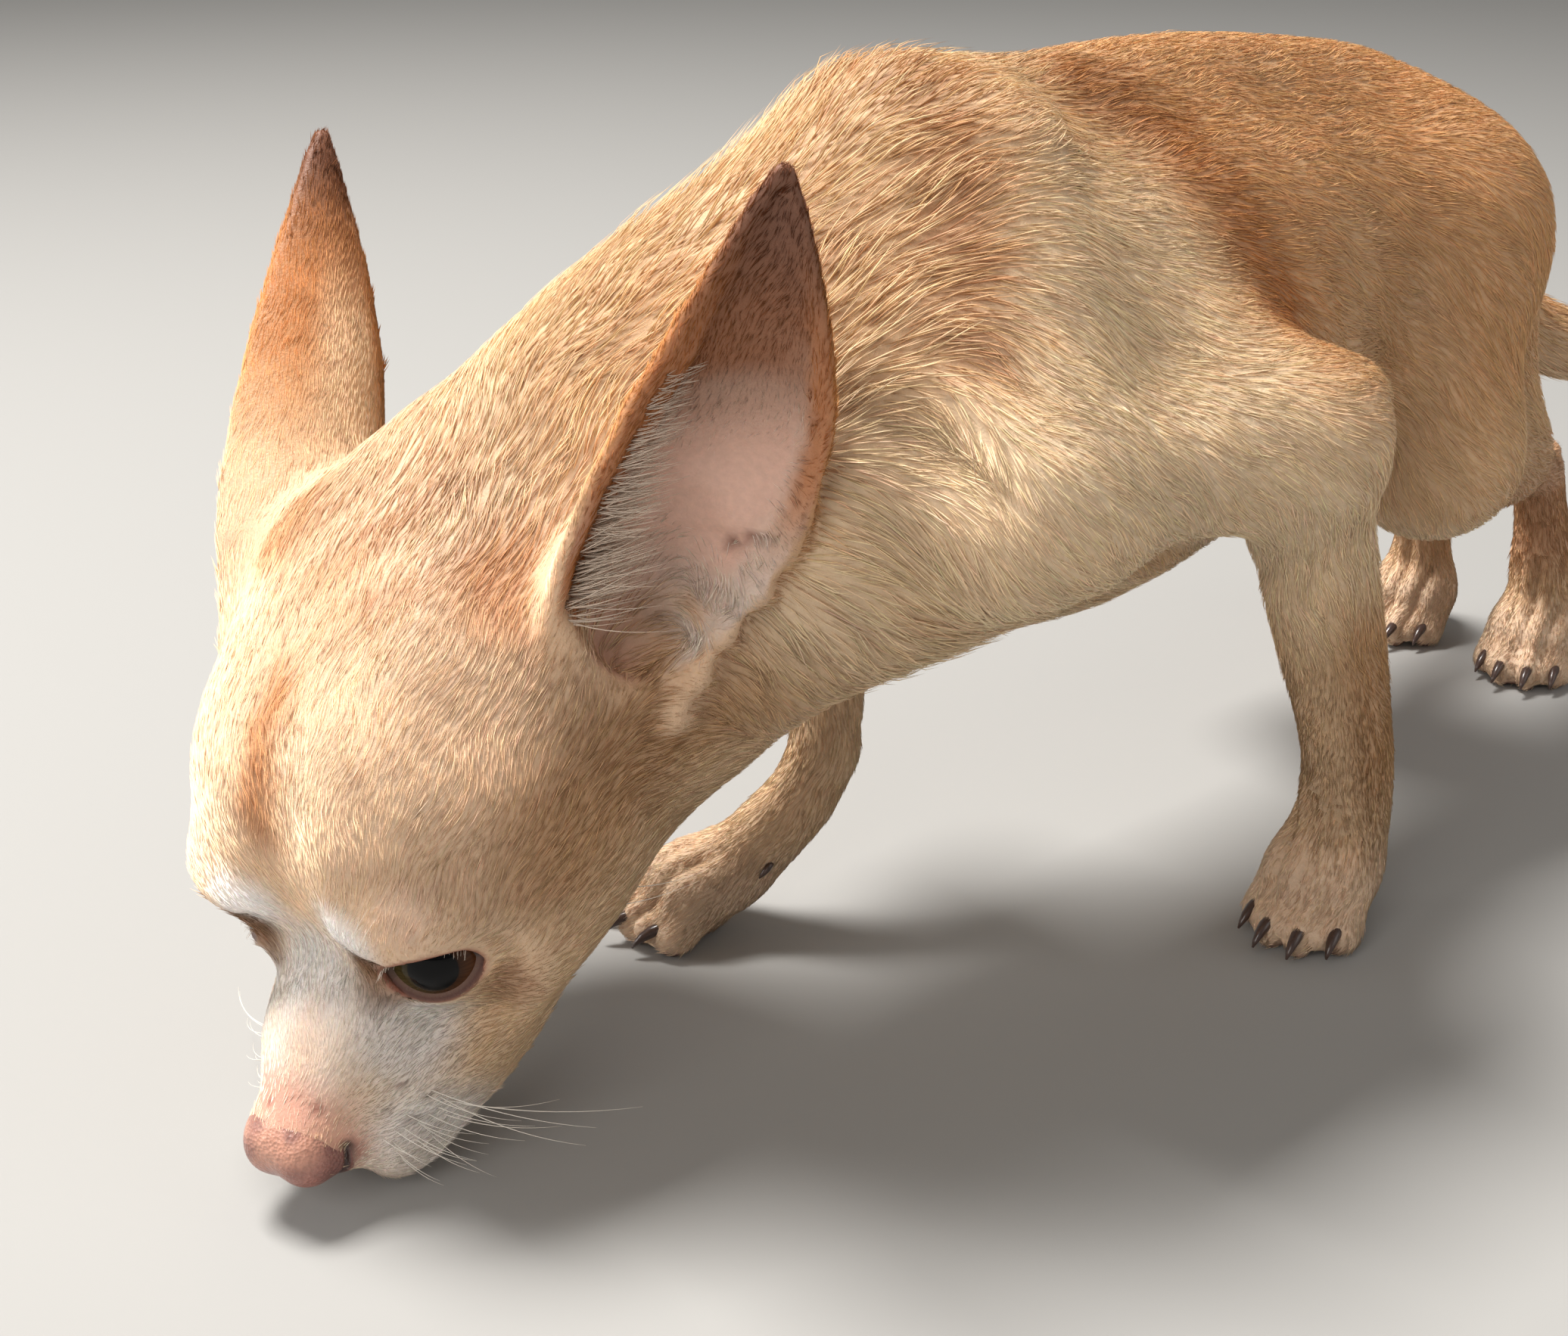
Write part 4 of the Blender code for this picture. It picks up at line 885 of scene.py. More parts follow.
def coat_colour(place):
    """The colour of the hair at each point, with painted shade on the cheeks and the near foreleg and partly in the
    ears' cups, and a painted highlight on the point of the shoulder.
    """
    p, q, n = place.p, place.q, place.n
    x, y, z = p.T
    c = np.repeat(FAWN[None], len(p), axis=0)
    # The back, from the withers to the tail, and the flanks under it.
    top = ease(z + 0.006 * ripple(p, 0.03, 1), 0.112, 0.146) * ease(x, -0.075, -0.020)
    c = mixed(c, BACK, 0.85 * top)
    flank = ease(x, -0.020, 0.020) * ease(z, 0.080, 0.105)
    c = mixed(c, BACK, 0.75 * flank)
    # Cream on the sides of the neck, the shoulder and the upper foreleg; a darker crease in
    # front of each shoulder blade and a brown band behind it.
    both = lambda places: [np.array(m) * vec(1, s, 1) + vec(0, 0.003 * (1 - s), 0) for m in places for s in (1, -1)]
    for middle in both(LEFT_SHOULDER):
        c = mixed(c, CREAM, 0.80 * near_to(p, middle, 0.036))
    for middle in ((-0.112, 0.010, 0.080), (-0.112, -0.010, 0.100), (-0.112, 0.036, 0.100)):
        c = mixed(c, CREAM, 0.65 * near_to(p, middle, 0.034))
    mirrored = p * vec(1, 1, 1) * np.where(y[:, None] > 0, vec(1, -1, 1), 1)
    band = limb(mirrored, LEFT_BAND, (0.001,) * 4)
    c = mixed(c, BACK, 0.85 * (1 - ease(band, 0.006, 0.034)) * ease(x, -0.052, -0.034))
    c = mixed(c, RED_FAWN, 0.80 * (1 - ease(band + 0.002 * ripple(p, 0.011, 2), 0.0, 0.0100)))
    crease = limb(mirrored, LEFT_CREASE, (0.001,) * 4)
    c = mixed(c, RED_FAWN, 0.55 * (1 - ease(crease + 0.002 * ripple(p, 0.009, 12), 0.0, 0.0075)))
    c = mixed(c, PALE, 0.55 * near_to(p, (0.0235, -0.0235, 0.105), 0.020) * ease(ripple(p, 0.02, 13), -1.2, 0.6))
    # Painted highlight: cream where the light catches the point of the shoulder.
    c = mixed(c, CREAM, 0.60 * near_to(p, (-0.0896, -0.0440, 0.1118), 0.0110))
    c = mixed(c, CREAM, 0.9 * ease(-n[:, 2], 0.35, 0.85) * (1 - place.on_head) * ease(z, 0.05, 0.07))
    # Legs and feet, with painted shade on the near foreleg.
    low = 1 - ease(z, 0.045, 0.085)
    c = mixed(c, PALE, 0.7 * low * (1 - ease(x, 0.05, 0.08)))
    # Painted shade on the side of the near foreleg that faces away from the key lamp.
    c = mixed(c, PAINTED_SHADE, 0.75 * near_to(p, (-0.0140, -0.0408, 0.052), 0.040) * ease(n[:, 0] * 0.3 - n[:, 1], 0.1, 0.9))
    c = mixed(c, SHANK, 0.8 * low * ease(x, 0.05, 0.08) * ease(z, 0.018, 0.035))
    c = mixed(c, FOOT, 0.8 * (1 - ease(z, 0.012, 0.026)))
    tail = ease(x, 0.095, 0.110) * ease(z, 0.066, 0.074)
    c = mixed(c, PALE, 0.75 * tail * ease(-n[:, 2], -0.7, 0.5))
    # The head: crown, painted shade on the cheeks, streak, then the white of age.
    head = mixed(np.repeat(PALE[None], len(p), axis=0), CROWN, ease(q[:, 2] + 0.004 * ripple(p, 0.02, 3), -0.006, 0.014))
    # Painted shade along each cheek, below the cheekbone.
    for side in (1, -1):
        m = q * vec(1, side, 1)
        head = mixed(head, PAINTED_SHADE, 0.70 * (1 - ease(limb(m, CHEEK_PAINTED_SHADE, (0.001,) * 3), 0.002, 0.017)))
    streak = hump(q[:, 1] + 0.0032 + 0.0010 * ripple(p, 0.012, 4), 0.0030)
    streak = streak * ease(q[:, 0], -0.030, -0.020) * (1 - ease(q[:, 0], -0.006, 0.002))
    head = mixed(head, RUST, 0.80 * streak * ease(q[:, 2], 0.015, 0.024))
    head = mixed(head, RED_FAWN, 0.45 * near_to(q, (-0.045, 0.0, 0.030), 0.022) * ease(ripple(p, 0.010, 5), -0.8, 0.8))
    for side in (1, -1):
        m = q * vec(1, side, 1)
        head = mixed(head, RUST, 0.6 * near_to(m, (-0.044, 0.020, 0.024), 0.012))
        head = mixed(head, RED_FAWN, 0.40 * near_to(m, (-0.006, 0.024, 0.002), 0.012) * ease(ripple(p, 0.008, 6), -0.6, 1))
        head = mixed(head, WHITE, 0.95 * near_to(m, (0.0060, 0.0085, 0.0130), 0.0085))
        head = mixed(head, WHITE, 0.85 * near_to(m, (0.0120, 0.0105, -0.0040), 0.0120))
        head = mixed(head, WHITE, 0.90 * near_to(m, (0.0240, 0.0110, -0.0160), 0.0150))
        head = mixed(head, WHITE, 0.60 * near_to(m, (-0.0100, 0.0130, -0.0300), 0.0180))
        head = mixed(head, paint(168, 122, 90), 0.60 * near_to(m, (0.0015, 0.0225, -0.0060), 0.0070))
        head = mixed(head, paint(232, 204, 182), 0.60 * near_to(m, (-0.0006, 0.0185, 0.0160), 0.0060))
        freckle = ease(ripple(p, 0.0032, 33), 0.55, 1.0) * near_to(m, (0.0215, 0.0140, -0.0130), 0.0120)
        head = mixed(head, paint(120, 96, 88), 0.45 * freckle)
    head = mixed(head, WHITE, 0.90 * near_to(q, (0.0110, 0.0, 0.0060), 0.0110))
    head = mixed(head, WHITE, 0.55 * near_to(q, (0.0225, 0.0, 0.0000), 0.0130))
    head = mixed(head, paint(236, 200, 172), 0.45 * near_to(q, (0.0200, 0.0010, 0.0020), 0.0110) * hump(q[:, 1] - 0.001, 0.0030))
    for side in (1, -1):
        m = q * vec(1, side, 1)
        head = mixed(head, paint(112, 80, 54), 0.95 * near_to(m, (0.0064, 0.0106, 0.0074), 0.0060))
        head = mixed(head, paint(140, 104, 76), 0.75 * near_to(m, (0.0086, 0.0112, 0.0034), 0.0064))
    c = mixed(c, head, place.on_head)
    # The ears: red-brown outside, darkest at the tip, a pale keel; inside, brown above, partly the hair's colour and
    # partly painted shade in the cup, and pale below.
    rim = np.abs(place.edge)
    ear_back = mixed(np.repeat(RUST[None], len(p), axis=0), BACK, 1 - ease(place.up_ear, 0.15, 0.60))
    ear_back = mixed(ear_back, CROWN, 0.75 * (1 - ease(place.up_ear, 0.05, 0.42)))
    ear_back = mixed(ear_back, PALE, 0.85 * (1 - ease(rim, 0.15, 0.60)) * (1 - ease(place.up_ear, 0.45, 0.80)))
    # Darker towards the top of the cup: partly brown hair, partly painted shade.
    upper_cup = ease(place.up_ear - 0.10 * place.edge + 0.05 * ripple(p, 0.008, 9), 0.32, 0.64)
    inner = mixed(np.repeat(paint(240, 222, 206)[None], len(p), axis=0), paint(150, 92, 50), upper_cup)
    rusty = ease(rim + 0.10 * (place.edge < 0), 0.72, 0.92) * np.maximum(ease(place.up_ear, 0.16, 0.42), place.edge < 0)
    inner = mixed(inner, paint(186, 118, 66), rusty)
    ear_coat = mixed(ear_back, inner, place.cup)
    ear_coat = mixed(ear_coat, paint(92, 46, 22), 0.92 * ease(place.up_ear, 0.60, 0.95))
    c = mixed(c, ear_coat, place.in_ear)
    # A slow change of tone that no part of a real coat is without.
    return c * (1 + 0.05 * ripple(p, 0.022, 7) + 0.04 * ripple(p, 0.007, 8))[:, None]


def bareness(place):
    """One where the skin is naked: inside the ears, on the bridge of the nose, round the eyes, lips and soles."""
    q, n = place.q, place.n
    bare = place.cup * (1 - 0.7 * ease(np.abs(place.edge), 0.66, 0.90)) * (1.12 - 0.95 * ease(place.up_ear - 0.10 * place.edge, 0.30, 0.66))
    bare = bare - 0.45 * place.cup * (1 - ease(place.up_ear, 0.04, 0.20))
    bare = bare * (1 - 0.9 * near_to(q * vec(1, 0, 1) + place.away[:, None] * vec(0, 1, 0), (-0.0480, 0.0400, 0.0080), 0.0140))
    bridge = hump(q[:, 1], 0.0065) * ease(q[:, 0], 0.016, 0.026) * ease(q[:, 2], -0.012, -0.004)
    bare = np.maximum(bare, 0.55 * bridge * place.on_head)
    m = q * vec(1, 0, 1) + np.abs(q[:, 1:2]) * vec(0, 1, 0)
    bare = np.maximum(bare, 1.12 * near_to(q, NOSE_AT + vec(-0.001, 0, 0.0010), 0.0140) * place.on_head)
    bare = np.maximum(bare, 1.12 * near_to(m, NOSE_AT + vec(0, 0.0060, -0.0010), 0.0075) * place.on_head)
    over, there = lip_line(q)
    bare = np.maximum(bare, there * place.on_head * hump(over, 0.0011))
    for side in (1, -1):
        m = q * vec(1, side, 1)
        middle, look, outer, top = eye_frame(1)
        round_eye = np.hypot((m - middle) @ outer / 1.25, (m - middle) @ top)
        bare = np.maximum(bare, 1.12 * place.on_head * (1 - ease(round_eye, 0.0052, 0.0062)) * ((m - middle) @ look > 0))
    sole = (1 - ease(place.p[:, 2], 0.0010, 0.0030)) * ease(-n[:, 2], 0.2, 0.7)
    groin = near_to(place.p, (0.045, 0.008, 0.085), 0.030) * ease(-n[:, 2], 0.3, 0.8)
    return np.clip(np.maximum(np.maximum(bare, sole), 0.45 * groin), 0, 1.12)


def skin_colour(place):
    """The skin's own colour seen between the hairs, and where hair covers it the coat's colour darkened as painted
    shade.
    """
    q = place.q
    bare = np.minimum(bareness(place), 1)
    # Under the hair, the coat's colour darkened to 0.76 as painted shade of the hair over the skin, with a little pink.
    c = mixed(coat_colour(place) * 0.76, PINK, 0.12 + 0 * bare)
    naked = np.repeat(PINK[None], len(q), axis=0)
    naked = mixed(naked, EAR_PINK, place.cup)
    # The bare skin darker towards the top of the cup: partly its colour, partly painted shade.
    naked = mixed(naked, paint(132, 78, 44), place.cup * ease(place.up_ear - 0.10 * place.edge, 0.28, 0.64))
    naked = mixed(naked, paint(190, 124, 72), 0.8 * place.cup * ease(np.abs(place.edge), 0.78, 0.96) * ease(place.up_ear, 0.12, 0.35))
    naked = mixed(naked, paint(150, 92, 82), 0.6 * place.cup * (1 - ease(place.up_ear, -0.08, 0.14)))
    # Painted shade in the pocket, where the ear's folds press in.
    naked = mixed(naked, paint(110, 66, 52), place.cup * ease(-ear_folds(place.p), 0.0002, 0.0009))
    naked = mixed(naked, paint(240, 206, 188), near_to(q, (0.0215, 0.0, 0.0010), 0.0110))
    naked = mixed(naked, LEATHER, near_to(q, NOSE_AT, 0.0190))
    for s in (1, -1):
        beside = np.linalg.norm(q - (NOSE_AT + vec(0.0, s * 0.0074, -0.0018)), axis=1)
        naked = mixed(naked, paint(140, 86, 74), 0.85 * (1 - ease(beside, 0.0016, 0.0046)))
    for spot in ((0.0262, 0.0050, -0.0013), (0.0275, -0.0020, -0.0004)):
        naked = mixed(naked, paint(140, 74, 58), 0.85 * near_to(q, spot, 0.0013))
    # Painted shade inside the nostrils.
    naked = mixed(naked, paint(62, 34, 30), 0.90 * (1 - ease(nostrils(q), 0.0004, 0.0014)))
    over, there = lip_line(q)
    naked = mixed(naked, DARK_RIM, 0.8 * there * place.on_head * hump(over, 0.0007))
    for side in (1, -1):
        m = q * vec(1, side, 1)
        middle, look, outer, top = eye_frame(1)
        round_eye = np.hypot((m - middle) @ outer / 1.3, (m - middle) @ top)
        lids = (1 - ease(round_eye, 0.0058, 0.0085)) * ((m - middle) @ look > 0) * place.on_head
        naked = mixed(naked, paint(150, 96, 78), lids)
    sole = (1 - ease(place.p[:, 2], 0.0010, 0.0030)) * ease(-place.n[:, 2], 0.2, 0.7)
    naked = mixed(naked, paint(120, 82, 74), sole)
    return mixed(c, naked, bare)


skin_place = Place(skin_points, skin_normals)
skin_paint = skin_colour(skin_place)
print("mean skin colour:", np.round(skin_paint.mean(axis=0), 3))

# %% [markdown]
# ## Into Blender
# A mesh with a hundred thousand faces is slow to build face by face. The arrays are handed over
# whole with foreach_set. Two points of style: faces turn outwards, and each point carries its
# colour as an attribute that the material reads.

# %% Meshes, materials and the skin piece


def solid(name, points, faces, material, colours=None, smooth=True):
    """A mesh object from arrays: points (n, 3) in the room, faces (m, k) or a list, and a colour for each point."""
    mesh = bpy.data.meshes.new(name)
    if isinstance(faces, np.ndarray):
        corners = faces.shape[1]
        mesh.vertices.add(len(points))
        mesh.vertices.foreach_set("co", (np.asarray(points) + TO_FRAME).astype(np.float32).ravel())
        mesh.loops.add(faces.size)
        mesh.loops.foreach_set("vertex_index", faces.astype(np.int32).ravel())
        mesh.polygons.add(len(faces))
        mesh.polygons.foreach_set("loop_start", np.arange(0, faces.size, corners, dtype=np.int32))
        mesh.polygons.foreach_set("loop_total", np.full(len(faces), corners, np.int32))
        mesh.update(calc_edges=True)
    else:
        mesh.from_pydata((np.asarray(points) + TO_FRAME).tolist(), [], faces)
    mesh.polygons.foreach_set("use_smooth", np.full(len(mesh.polygons), smooth))
    if colours is not None:
        layer = mesh.color_attributes.new("tone", "FLOAT_COLOR", "POINT")
        layer.data.foreach_set("color", np.column_stack([colours, np.ones(len(colours))]).astype(np.float32).ravel())
    mesh.materials.append(material)
    piece = bpy.data.objects.new(name, mesh)
    bpy.context.scene.collection.objects.link(piece)
    return piece


def finish(name, roughness, specular=0.5, sheen=0.0, coat=0.0, subsurface=0.0):
    """A Principled material whose even values sit on its own sockets."""
    made = bpy.data.materials.new(name)
    made.use_nodes = True
    shader = made.node_tree.nodes["Principled BSDF"]
    shader.inputs["Roughness"].default_value = roughness
    shader.inputs["Specular IOR Level"].default_value = specular
    shader.inputs["Sheen Weight"].default_value = sheen
    shader.inputs["Sheen Roughness"].default_value = 0.4
    shader.inputs["Coat Weight"].default_value = coat
    shader.inputs["Coat Roughness"].default_value = 0.05
    shader.inputs["Subsurface Weight"].default_value = subsurface
    shader.inputs["Subsurface Radius"].default_value = (0.0030, 0.0012, 0.0006)
    shader.inputs["Subsurface Scale"].default_value = 1.0
    return made, made.node_tree, shader


def toned(tree, shader, spread, scale):
    """The piece's own tone, made a little lighter and darker by a fine noise on its own place."""
    tone = tree.nodes.new("ShaderNodeAttribute")
    tone.attribute_name = "tone"
    place = tree.nodes.new("ShaderNodeTexCoord")
    noise = tree.nodes.new("ShaderNodeTexNoise")
    noise.inputs["Scale"].default_value = scale
    noise.inputs["Detail"].default_value = 4
    tree.links.new(place.outputs["Object"], noise.inputs["Vector"])
    level = tree.nodes.new("ShaderNodeMapRange")
    level.inputs["From Min"].default_value = 0.3
    level.inputs["From Max"].default_value = 0.7
    level.inputs["To Min"].default_value = 1 - spread
    level.inputs["To Max"].default_value = 1 + spread
    tree.links.new(noise.outputs["Fac"], level.inputs["Value"])
    scaled = tree.nodes.new("ShaderNodeVectorMath")
    scaled.operation = "SCALE"
    tree.links.new(tone.outputs["Color"], scaled.inputs["Vector"])
    tree.links.new(level.outputs["Result"], scaled.inputs["Scale"])
    tree.links.new(scaled.outputs["Vector"], shader.inputs["Base Color"])
    return place


def pebbled(tree, shader, place, scale, depth, kind="ShaderNodeTexNoise"):
    """Bump from a noise or from cells, this deep in metres."""
    grain = tree.nodes.new(kind)
    grain.inputs["Scale"].default_value = scale
    bump = tree.nodes.new("ShaderNodeBump")
    bump.inputs["Distance"].default_value = depth
    bump.inputs["Strength"].default_value = 1.0
    tree.links.new(place.outputs["Object"], grain.inputs["Vector"])
    tree.links.new(grain.outputs[0], bump.inputs["Height"])
    tree.links.new(bump.outputs["Normal"], shader.inputs["Normal"])


skin_finish, tree, shader = finish("fine_skin", 0.55, specular=0.35, subsurface=0.12)
place = toned(tree, shader, 0.06, 900)
pebbled(tree, shader, place, 2600, 0.00012)
skin_piece = solid("skin", skin_points, skin_faces, skin_finish, skin_paint)
FLESH = [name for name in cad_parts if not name.startswith(("eye", "nose"))]
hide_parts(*FLESH)
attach(skin_piece, "root")

# The unwrap that the bake uses: islands cut where the surface turns, laid out in one square.
bpy.context.view_layer.objects.active = skin_piece
skin_piece.select_set(True)
skin_piece.data.uv_layers.new(name="OFBake")
bpy.ops.object.mode_set(mode="EDIT")
bpy.ops.mesh.select_all(action="SELECT")
bpy.ops.uv.smart_project(angle_limit=np.radians(66), island_margin=0.002)
bpy.ops.object.mode_set(mode="OBJECT")
skin_piece.select_set(False)
unwrap = np.empty(len(skin_piece.data.loops) * 2, np.float32)
skin_piece.data.uv_layers["OFBake"].data.foreach_get("uv", unwrap)
unwrap = unwrap.reshape(-1, 4, 2)
print("skin piece:", len(skin_faces) * 2, "triangles; the unwrap spans", unwrap.min().round(3), "to", unwrap.max().round(3))

# %% [markdown]
# ## The lie of the hair
# A dog's hair runs away from the nose, over the skull and along the neck, down the shoulder,
# back over the ribs, and down each leg to the toes. Some sixty places on the body say which
# way it runs there. Between them the directions are averaged by nearness, then flattened onto
# the skin. Combing by hand gives the same thing but can't be written down so briefly.

# %% Which way it runs
FACE_LIE = (
    ((0.030, 0, 0.000), (-1, 0, 0.35)), ((0.012, 0, 0.006), (-0.8, 0, 0.6)),
    ((-0.002, 0, 0.026), (-0.7, 0, 0.7)), ((-0.020, 0, 0.034), (-1, 0, 0.1)),
    ((-0.045, 0, 0.033), (-1, 0, -0.1)), ((-0.070, 0, 0.018), (-0.9, 0, -0.5)),
    ((0.022, 0.013, -0.012), (-0.95, 0.35, -0.35)), ((0.010, 0.017, -0.018), (-0.95, 0.2, -0.4)),
    ((-0.012, 0.027, -0.012), (-0.95, 0.1, -0.3)), ((-0.035, 0.033, -0.010), (-0.9, 0, -0.45)),
    ((-0.010, 0.024, 0.016), (-0.75, 0.35, 0.5)), ((-0.030, 0.030, 0.020), (-0.9, 0.2, 0.35)),
    ((-0.045, 0.028, 0.024), (-0.95, 0.1, 0.2)), ((0.004, 0.010, 0.014), (-0.45, 0.3, 0.8)),
    ((0.010, 0.008, -0.030), (-1, 0, -0.05)), ((-0.020, 0.012, -0.036), (-1, 0, -0.15)),
    ((-0.008, 0.027, 0.000), (-1, 0.1, 0.05)), ((0.006, 0.020, -0.006), (-0.9, 0.25, -0.35)),
)
BODY_LIE = (
    ((-0.115, 0.026, 0.128), (0.80, -0.45, 0.35)), ((-0.098, 0.012, 0.145), (0.9, -0.3, 0.2)),
    ((-0.115, -0.008, 0.105), (0.8, -0.45, -0.35)), ((-0.095, 0.045, 0.105), (0.85, -0.1, -0.45)),
    ((-0.118, 0.020, 0.065), (0.55, -0.35, -0.6)), ((-0.108, 0.010, 0.075), (0.4, -0.2, -0.8)),
    ((-0.080, 0.002, 0.155), (1, 0, -0.05)), ((-0.030, 0.001, 0.158), (1, 0, -0.05)),
    ((0.010, 0.002, 0.156), (1, 0, -0.05)), ((0.050, 0.004, 0.147), (0.95, 0, -0.25)),
    ((0.075, 0.005, 0.128), (0.75, 0, -0.65)), ((0.085, 0.005, 0.110), (0.6, 0, -0.8)),
    ((-0.030, 0.032, 0.115), (0.93, 0, -0.35)), ((-0.030, -0.032, 0.115), (0.93, 0, -0.35)),
    ((0.010, 0.028, 0.115), (0.93, 0, -0.35)), ((0.010, -0.028, 0.115), (0.93, 0, -0.35)),
    ((0.035, 0.030, 0.120), (0.80, 0, -0.6)), ((0.035, -0.020, 0.120), (0.80, 0, -0.6)),
    ((-0.085, -0.030, 0.115), (0.6, -0.1, -0.75)), ((-0.095, 0.036, 0.115), (0.6, 0.1, -0.75)),
    ((-0.116, 0.000, 0.100), (0.2, -0.1, -0.95)), ((-0.108, 0.000, 0.085), (0.6, 0, -0.75)),
    ((-0.085, 0.000, 0.072), (0.95, 0, -0.1)), ((-0.030, 0.000, 0.067), (1, 0, 0.05)),
    ((0.020, 0.000, 0.080), (1, 0, 0.1)), ((0.050, 0.005, 0.090), (0.9, 0, -0.2)),
    ((-0.062, -0.038, 0.104), (0.65, -0.1, -0.7)), ((-0.070, 0.040, 0.100), (0.65, 0.1, -0.7)),
    ((0.055, -0.028, 0.105), (0.5, 0, -0.85)), ((0.060, 0.042, 0.105), (0.5, 0, -0.85)),
    ((0.072, -0.022, 0.082), (0.8, 0, -0.6)), ((0.076, 0.038, 0.082), (0.8, 0, -0.6)),
)


def lie_places():
    """Every place and direction: the face's on both sides, the ears', the body's, the legs' and the tail's."""
    at, way = [], []
    for place, lie in FACE_LIE:
        for side in ((1, -1) if place[1] else (1,)):
            at.append(from_head(vec(*place) * vec(1, side, 1)))
            way.append(HEAD_AXES @ (vec(*lie) * vec(1, side, 1)))
    for side in (1, -1):
        root, tip, _ = EARS[side]
        for t in (0.1, 0.3, 0.5, 0.7, 0.9, 1.05):
            at.append(from_head(root + (tip - root) * t))
            way.append(HEAD_AXES @ (tip - root))
    for place, lie in BODY_LIE:
        at.append(vec(*place))
        way.append(vec(*lie))
    for leg, first in ((LEFT_FORE, 2), (RIGHT_FORE, 2), (LEFT_HIND, 1), (RIGHT_HIND, 1)):
        bones = leg["bones"]
        joints = [bones[first], *bones[-2:], leg["toes"]]
        for a, b in zip(joints[:-1], joints[1:]):
            for t in (0.25, 0.6, 0.9):
                at.append(a + (b - a) * t)
                way.append(b - a)
        forward = vec(-np.cos(leg["heading"]), -np.sin(leg["heading"]), 0)
        at.append(leg["toes"] + forward * 0.008)
        way.append(forward + vec(0, 0, -0.35))
    line = np.array(TAIL)
    for a, b in zip(line[:-1], line[1:]):
        at.append((a + b) / 2)
        way.append(b - a)
    way = np.array(way)
    return np.array(at), way / np.linalg.norm(way, axis=1)[:, None]


LIE_AT, LIE_WAY = lie_places()


def flattened(way, n):
    """Directions laid onto the surface whose normals are n, cut to length one."""
    way = way - (way * n).sum(axis=1)[:, None] * n
    return way / np.maximum(np.linalg.norm(way, axis=1), 1e-9)[:, None]


def lie_of_hair(p, n):
    """The nearest places' directions, weighted by 1 / distance^4, laid onto the skin."""
    way = np.empty_like(p)
    for start in range(0, len(p), 40000):
        some = p[start : start + 40000]
        away = ((some[:, None] - LIE_AT[None]) ** 2).sum(axis=2) + 0.004 ** 2
        weight = away ** -2.0
        way[start : start + 40000] = weight @ LIE_WAY / weight.sum(axis=1)[:, None]
    return flattened(way, n)


print(len(LIE_AT), "places say how the hair lies")

# %% [markdown]
# ## How long, how wide, how close
# A tuft stands for a few dozen hairs that cling together. On the face it is a millimetre and a
# half long and a fifth of one wide, on the neck eight times that. The closer they stand, the
# shorter they may be, so the number in each square millimetre follows from the two sizes.

# %% Length, width and number


def hair_length(place):
    """Length of a tuft at each point, in metres."""
    p, q = place.p, place.q
    x, y, z = p.T
    body = 0.0056 + 0 * x
    ruff = np.maximum(near_to(p, (-0.095, 0.008, 0.135), 0.052), near_to(p, (-0.100, -0.004, 0.085), 0.046))
    body = body + 0.0036 * ruff
    body = body - 0.0024 * (1 - ease(z, 0.050, 0.085))
    body = body - 0.0010 * (1 - ease(z, 0.010, 0.030))
    body = np.where(x > 0.100, np.maximum(body, 0.0078 * ease(z, 0.068, 0.076)), body)
    head = 0.0036 - 0.0017 * ease(q[:, 0], -0.012, 0.018) - 0.0004 * ease(q[:, 0], 0.018, 0.030)
    head = head + 0.0030 * (1 - ease(q[:, 0], -0.060, -0.035))
    length = body * (1 - place.on_head) + head * place.on_head
    on_ear = 0.0021 + 0.0012 * (1 - ease(place.up_ear, 0.0, 0.30))
    return length * (1 - place.in_ear) + on_ear * place.in_ear


def hair_width(length):
    """Wider where it is longer, but never as wide as it is long."""
    return 0.00008 + 0.000015 * length * 1000


def hairs_each_area(place, length):
    """Tufts in a square metre so that they cover the skin a little more than once, none where it is bare."""
    cover = 1.26 * np.clip(1 - 0.90 * bareness(place), 0, 1)
    cover = cover * (1 - 0.35 * place.in_ear)
    return cover / (length * hair_width(length))


length_here = hair_length(skin_place)
many_here = hairs_each_area(skin_place, length_here)
corners = skin_points[skin_faces]
areas = np.linalg.norm(np.cross(corners[:, 2] - corners[:, 0], corners[:, 3] - corners[:, 1]), axis=1) / 2
wanted = (areas * many_here[skin_faces].mean(axis=1)).sum()
print("skin:", round(areas.sum() * 1e4), "square centimetres; tufts wanted:", int(wanted))

# %% [markdown]
# ## Tufts
# Each tuft is a closed blade with three sides: a root sunk into the skin, and for the longer
# ones a knee half way and a tip. It leaves the skin at a low angle and bends back along it.
# To keep the tip close to a curved body, the skin's point nearest to it is looked up in a
# lattice of small boxes, and the tip is set at its height over that. Hair curves would be
# lighter but are lost when the model is saved, and flat cards show their edges.

# %% The nearest skin, from a lattice
BOX = 0.0016
low_corner = skin_points.min(axis=0) - 0.012
lattice_shape = np.ceil((skin_points.max(axis=0) + 0.012 - low_corner) / BOX).astype(int) + 1


def lattice_of(points):
    """For each small box the number of a point in it or, for four boxes round, of a neighbour's; -1 further out."""
    boxes = np.full(lattice_shape, -1, np.int32)
    at = ((points - low_corner) / BOX).astype(int)
    boxes[tuple(at.T)] = np.arange(len(points))
    for _ in range(5):
        empty = boxes < 0
        for axis in range(3):
            for shift in (1, -1):
                moved = np.roll(boxes, shift, axis=axis)
                boxes = np.where(empty & (moved >= 0) & (boxes < 0), moved, boxes)
    return boxes


NEAREST = lattice_of(skin_points)


def height_over_skin(p):
    """Distance from the nearest skin point's tangent plane, its normal, and whether one was near."""
    at = np.clip(((p - low_corner) / BOX).astype(int), 0, lattice_shape - 1)
    found = NEAREST[tuple(at.T)]
    n = skin_normals[found]
    over = ((p - skin_points[found]) * n).sum(axis=1)
    return np.where(found >= 0, over, 0), n, found >= 0


print("lattice:", lattice_shape.tolist())

# %% Drawing the tufts


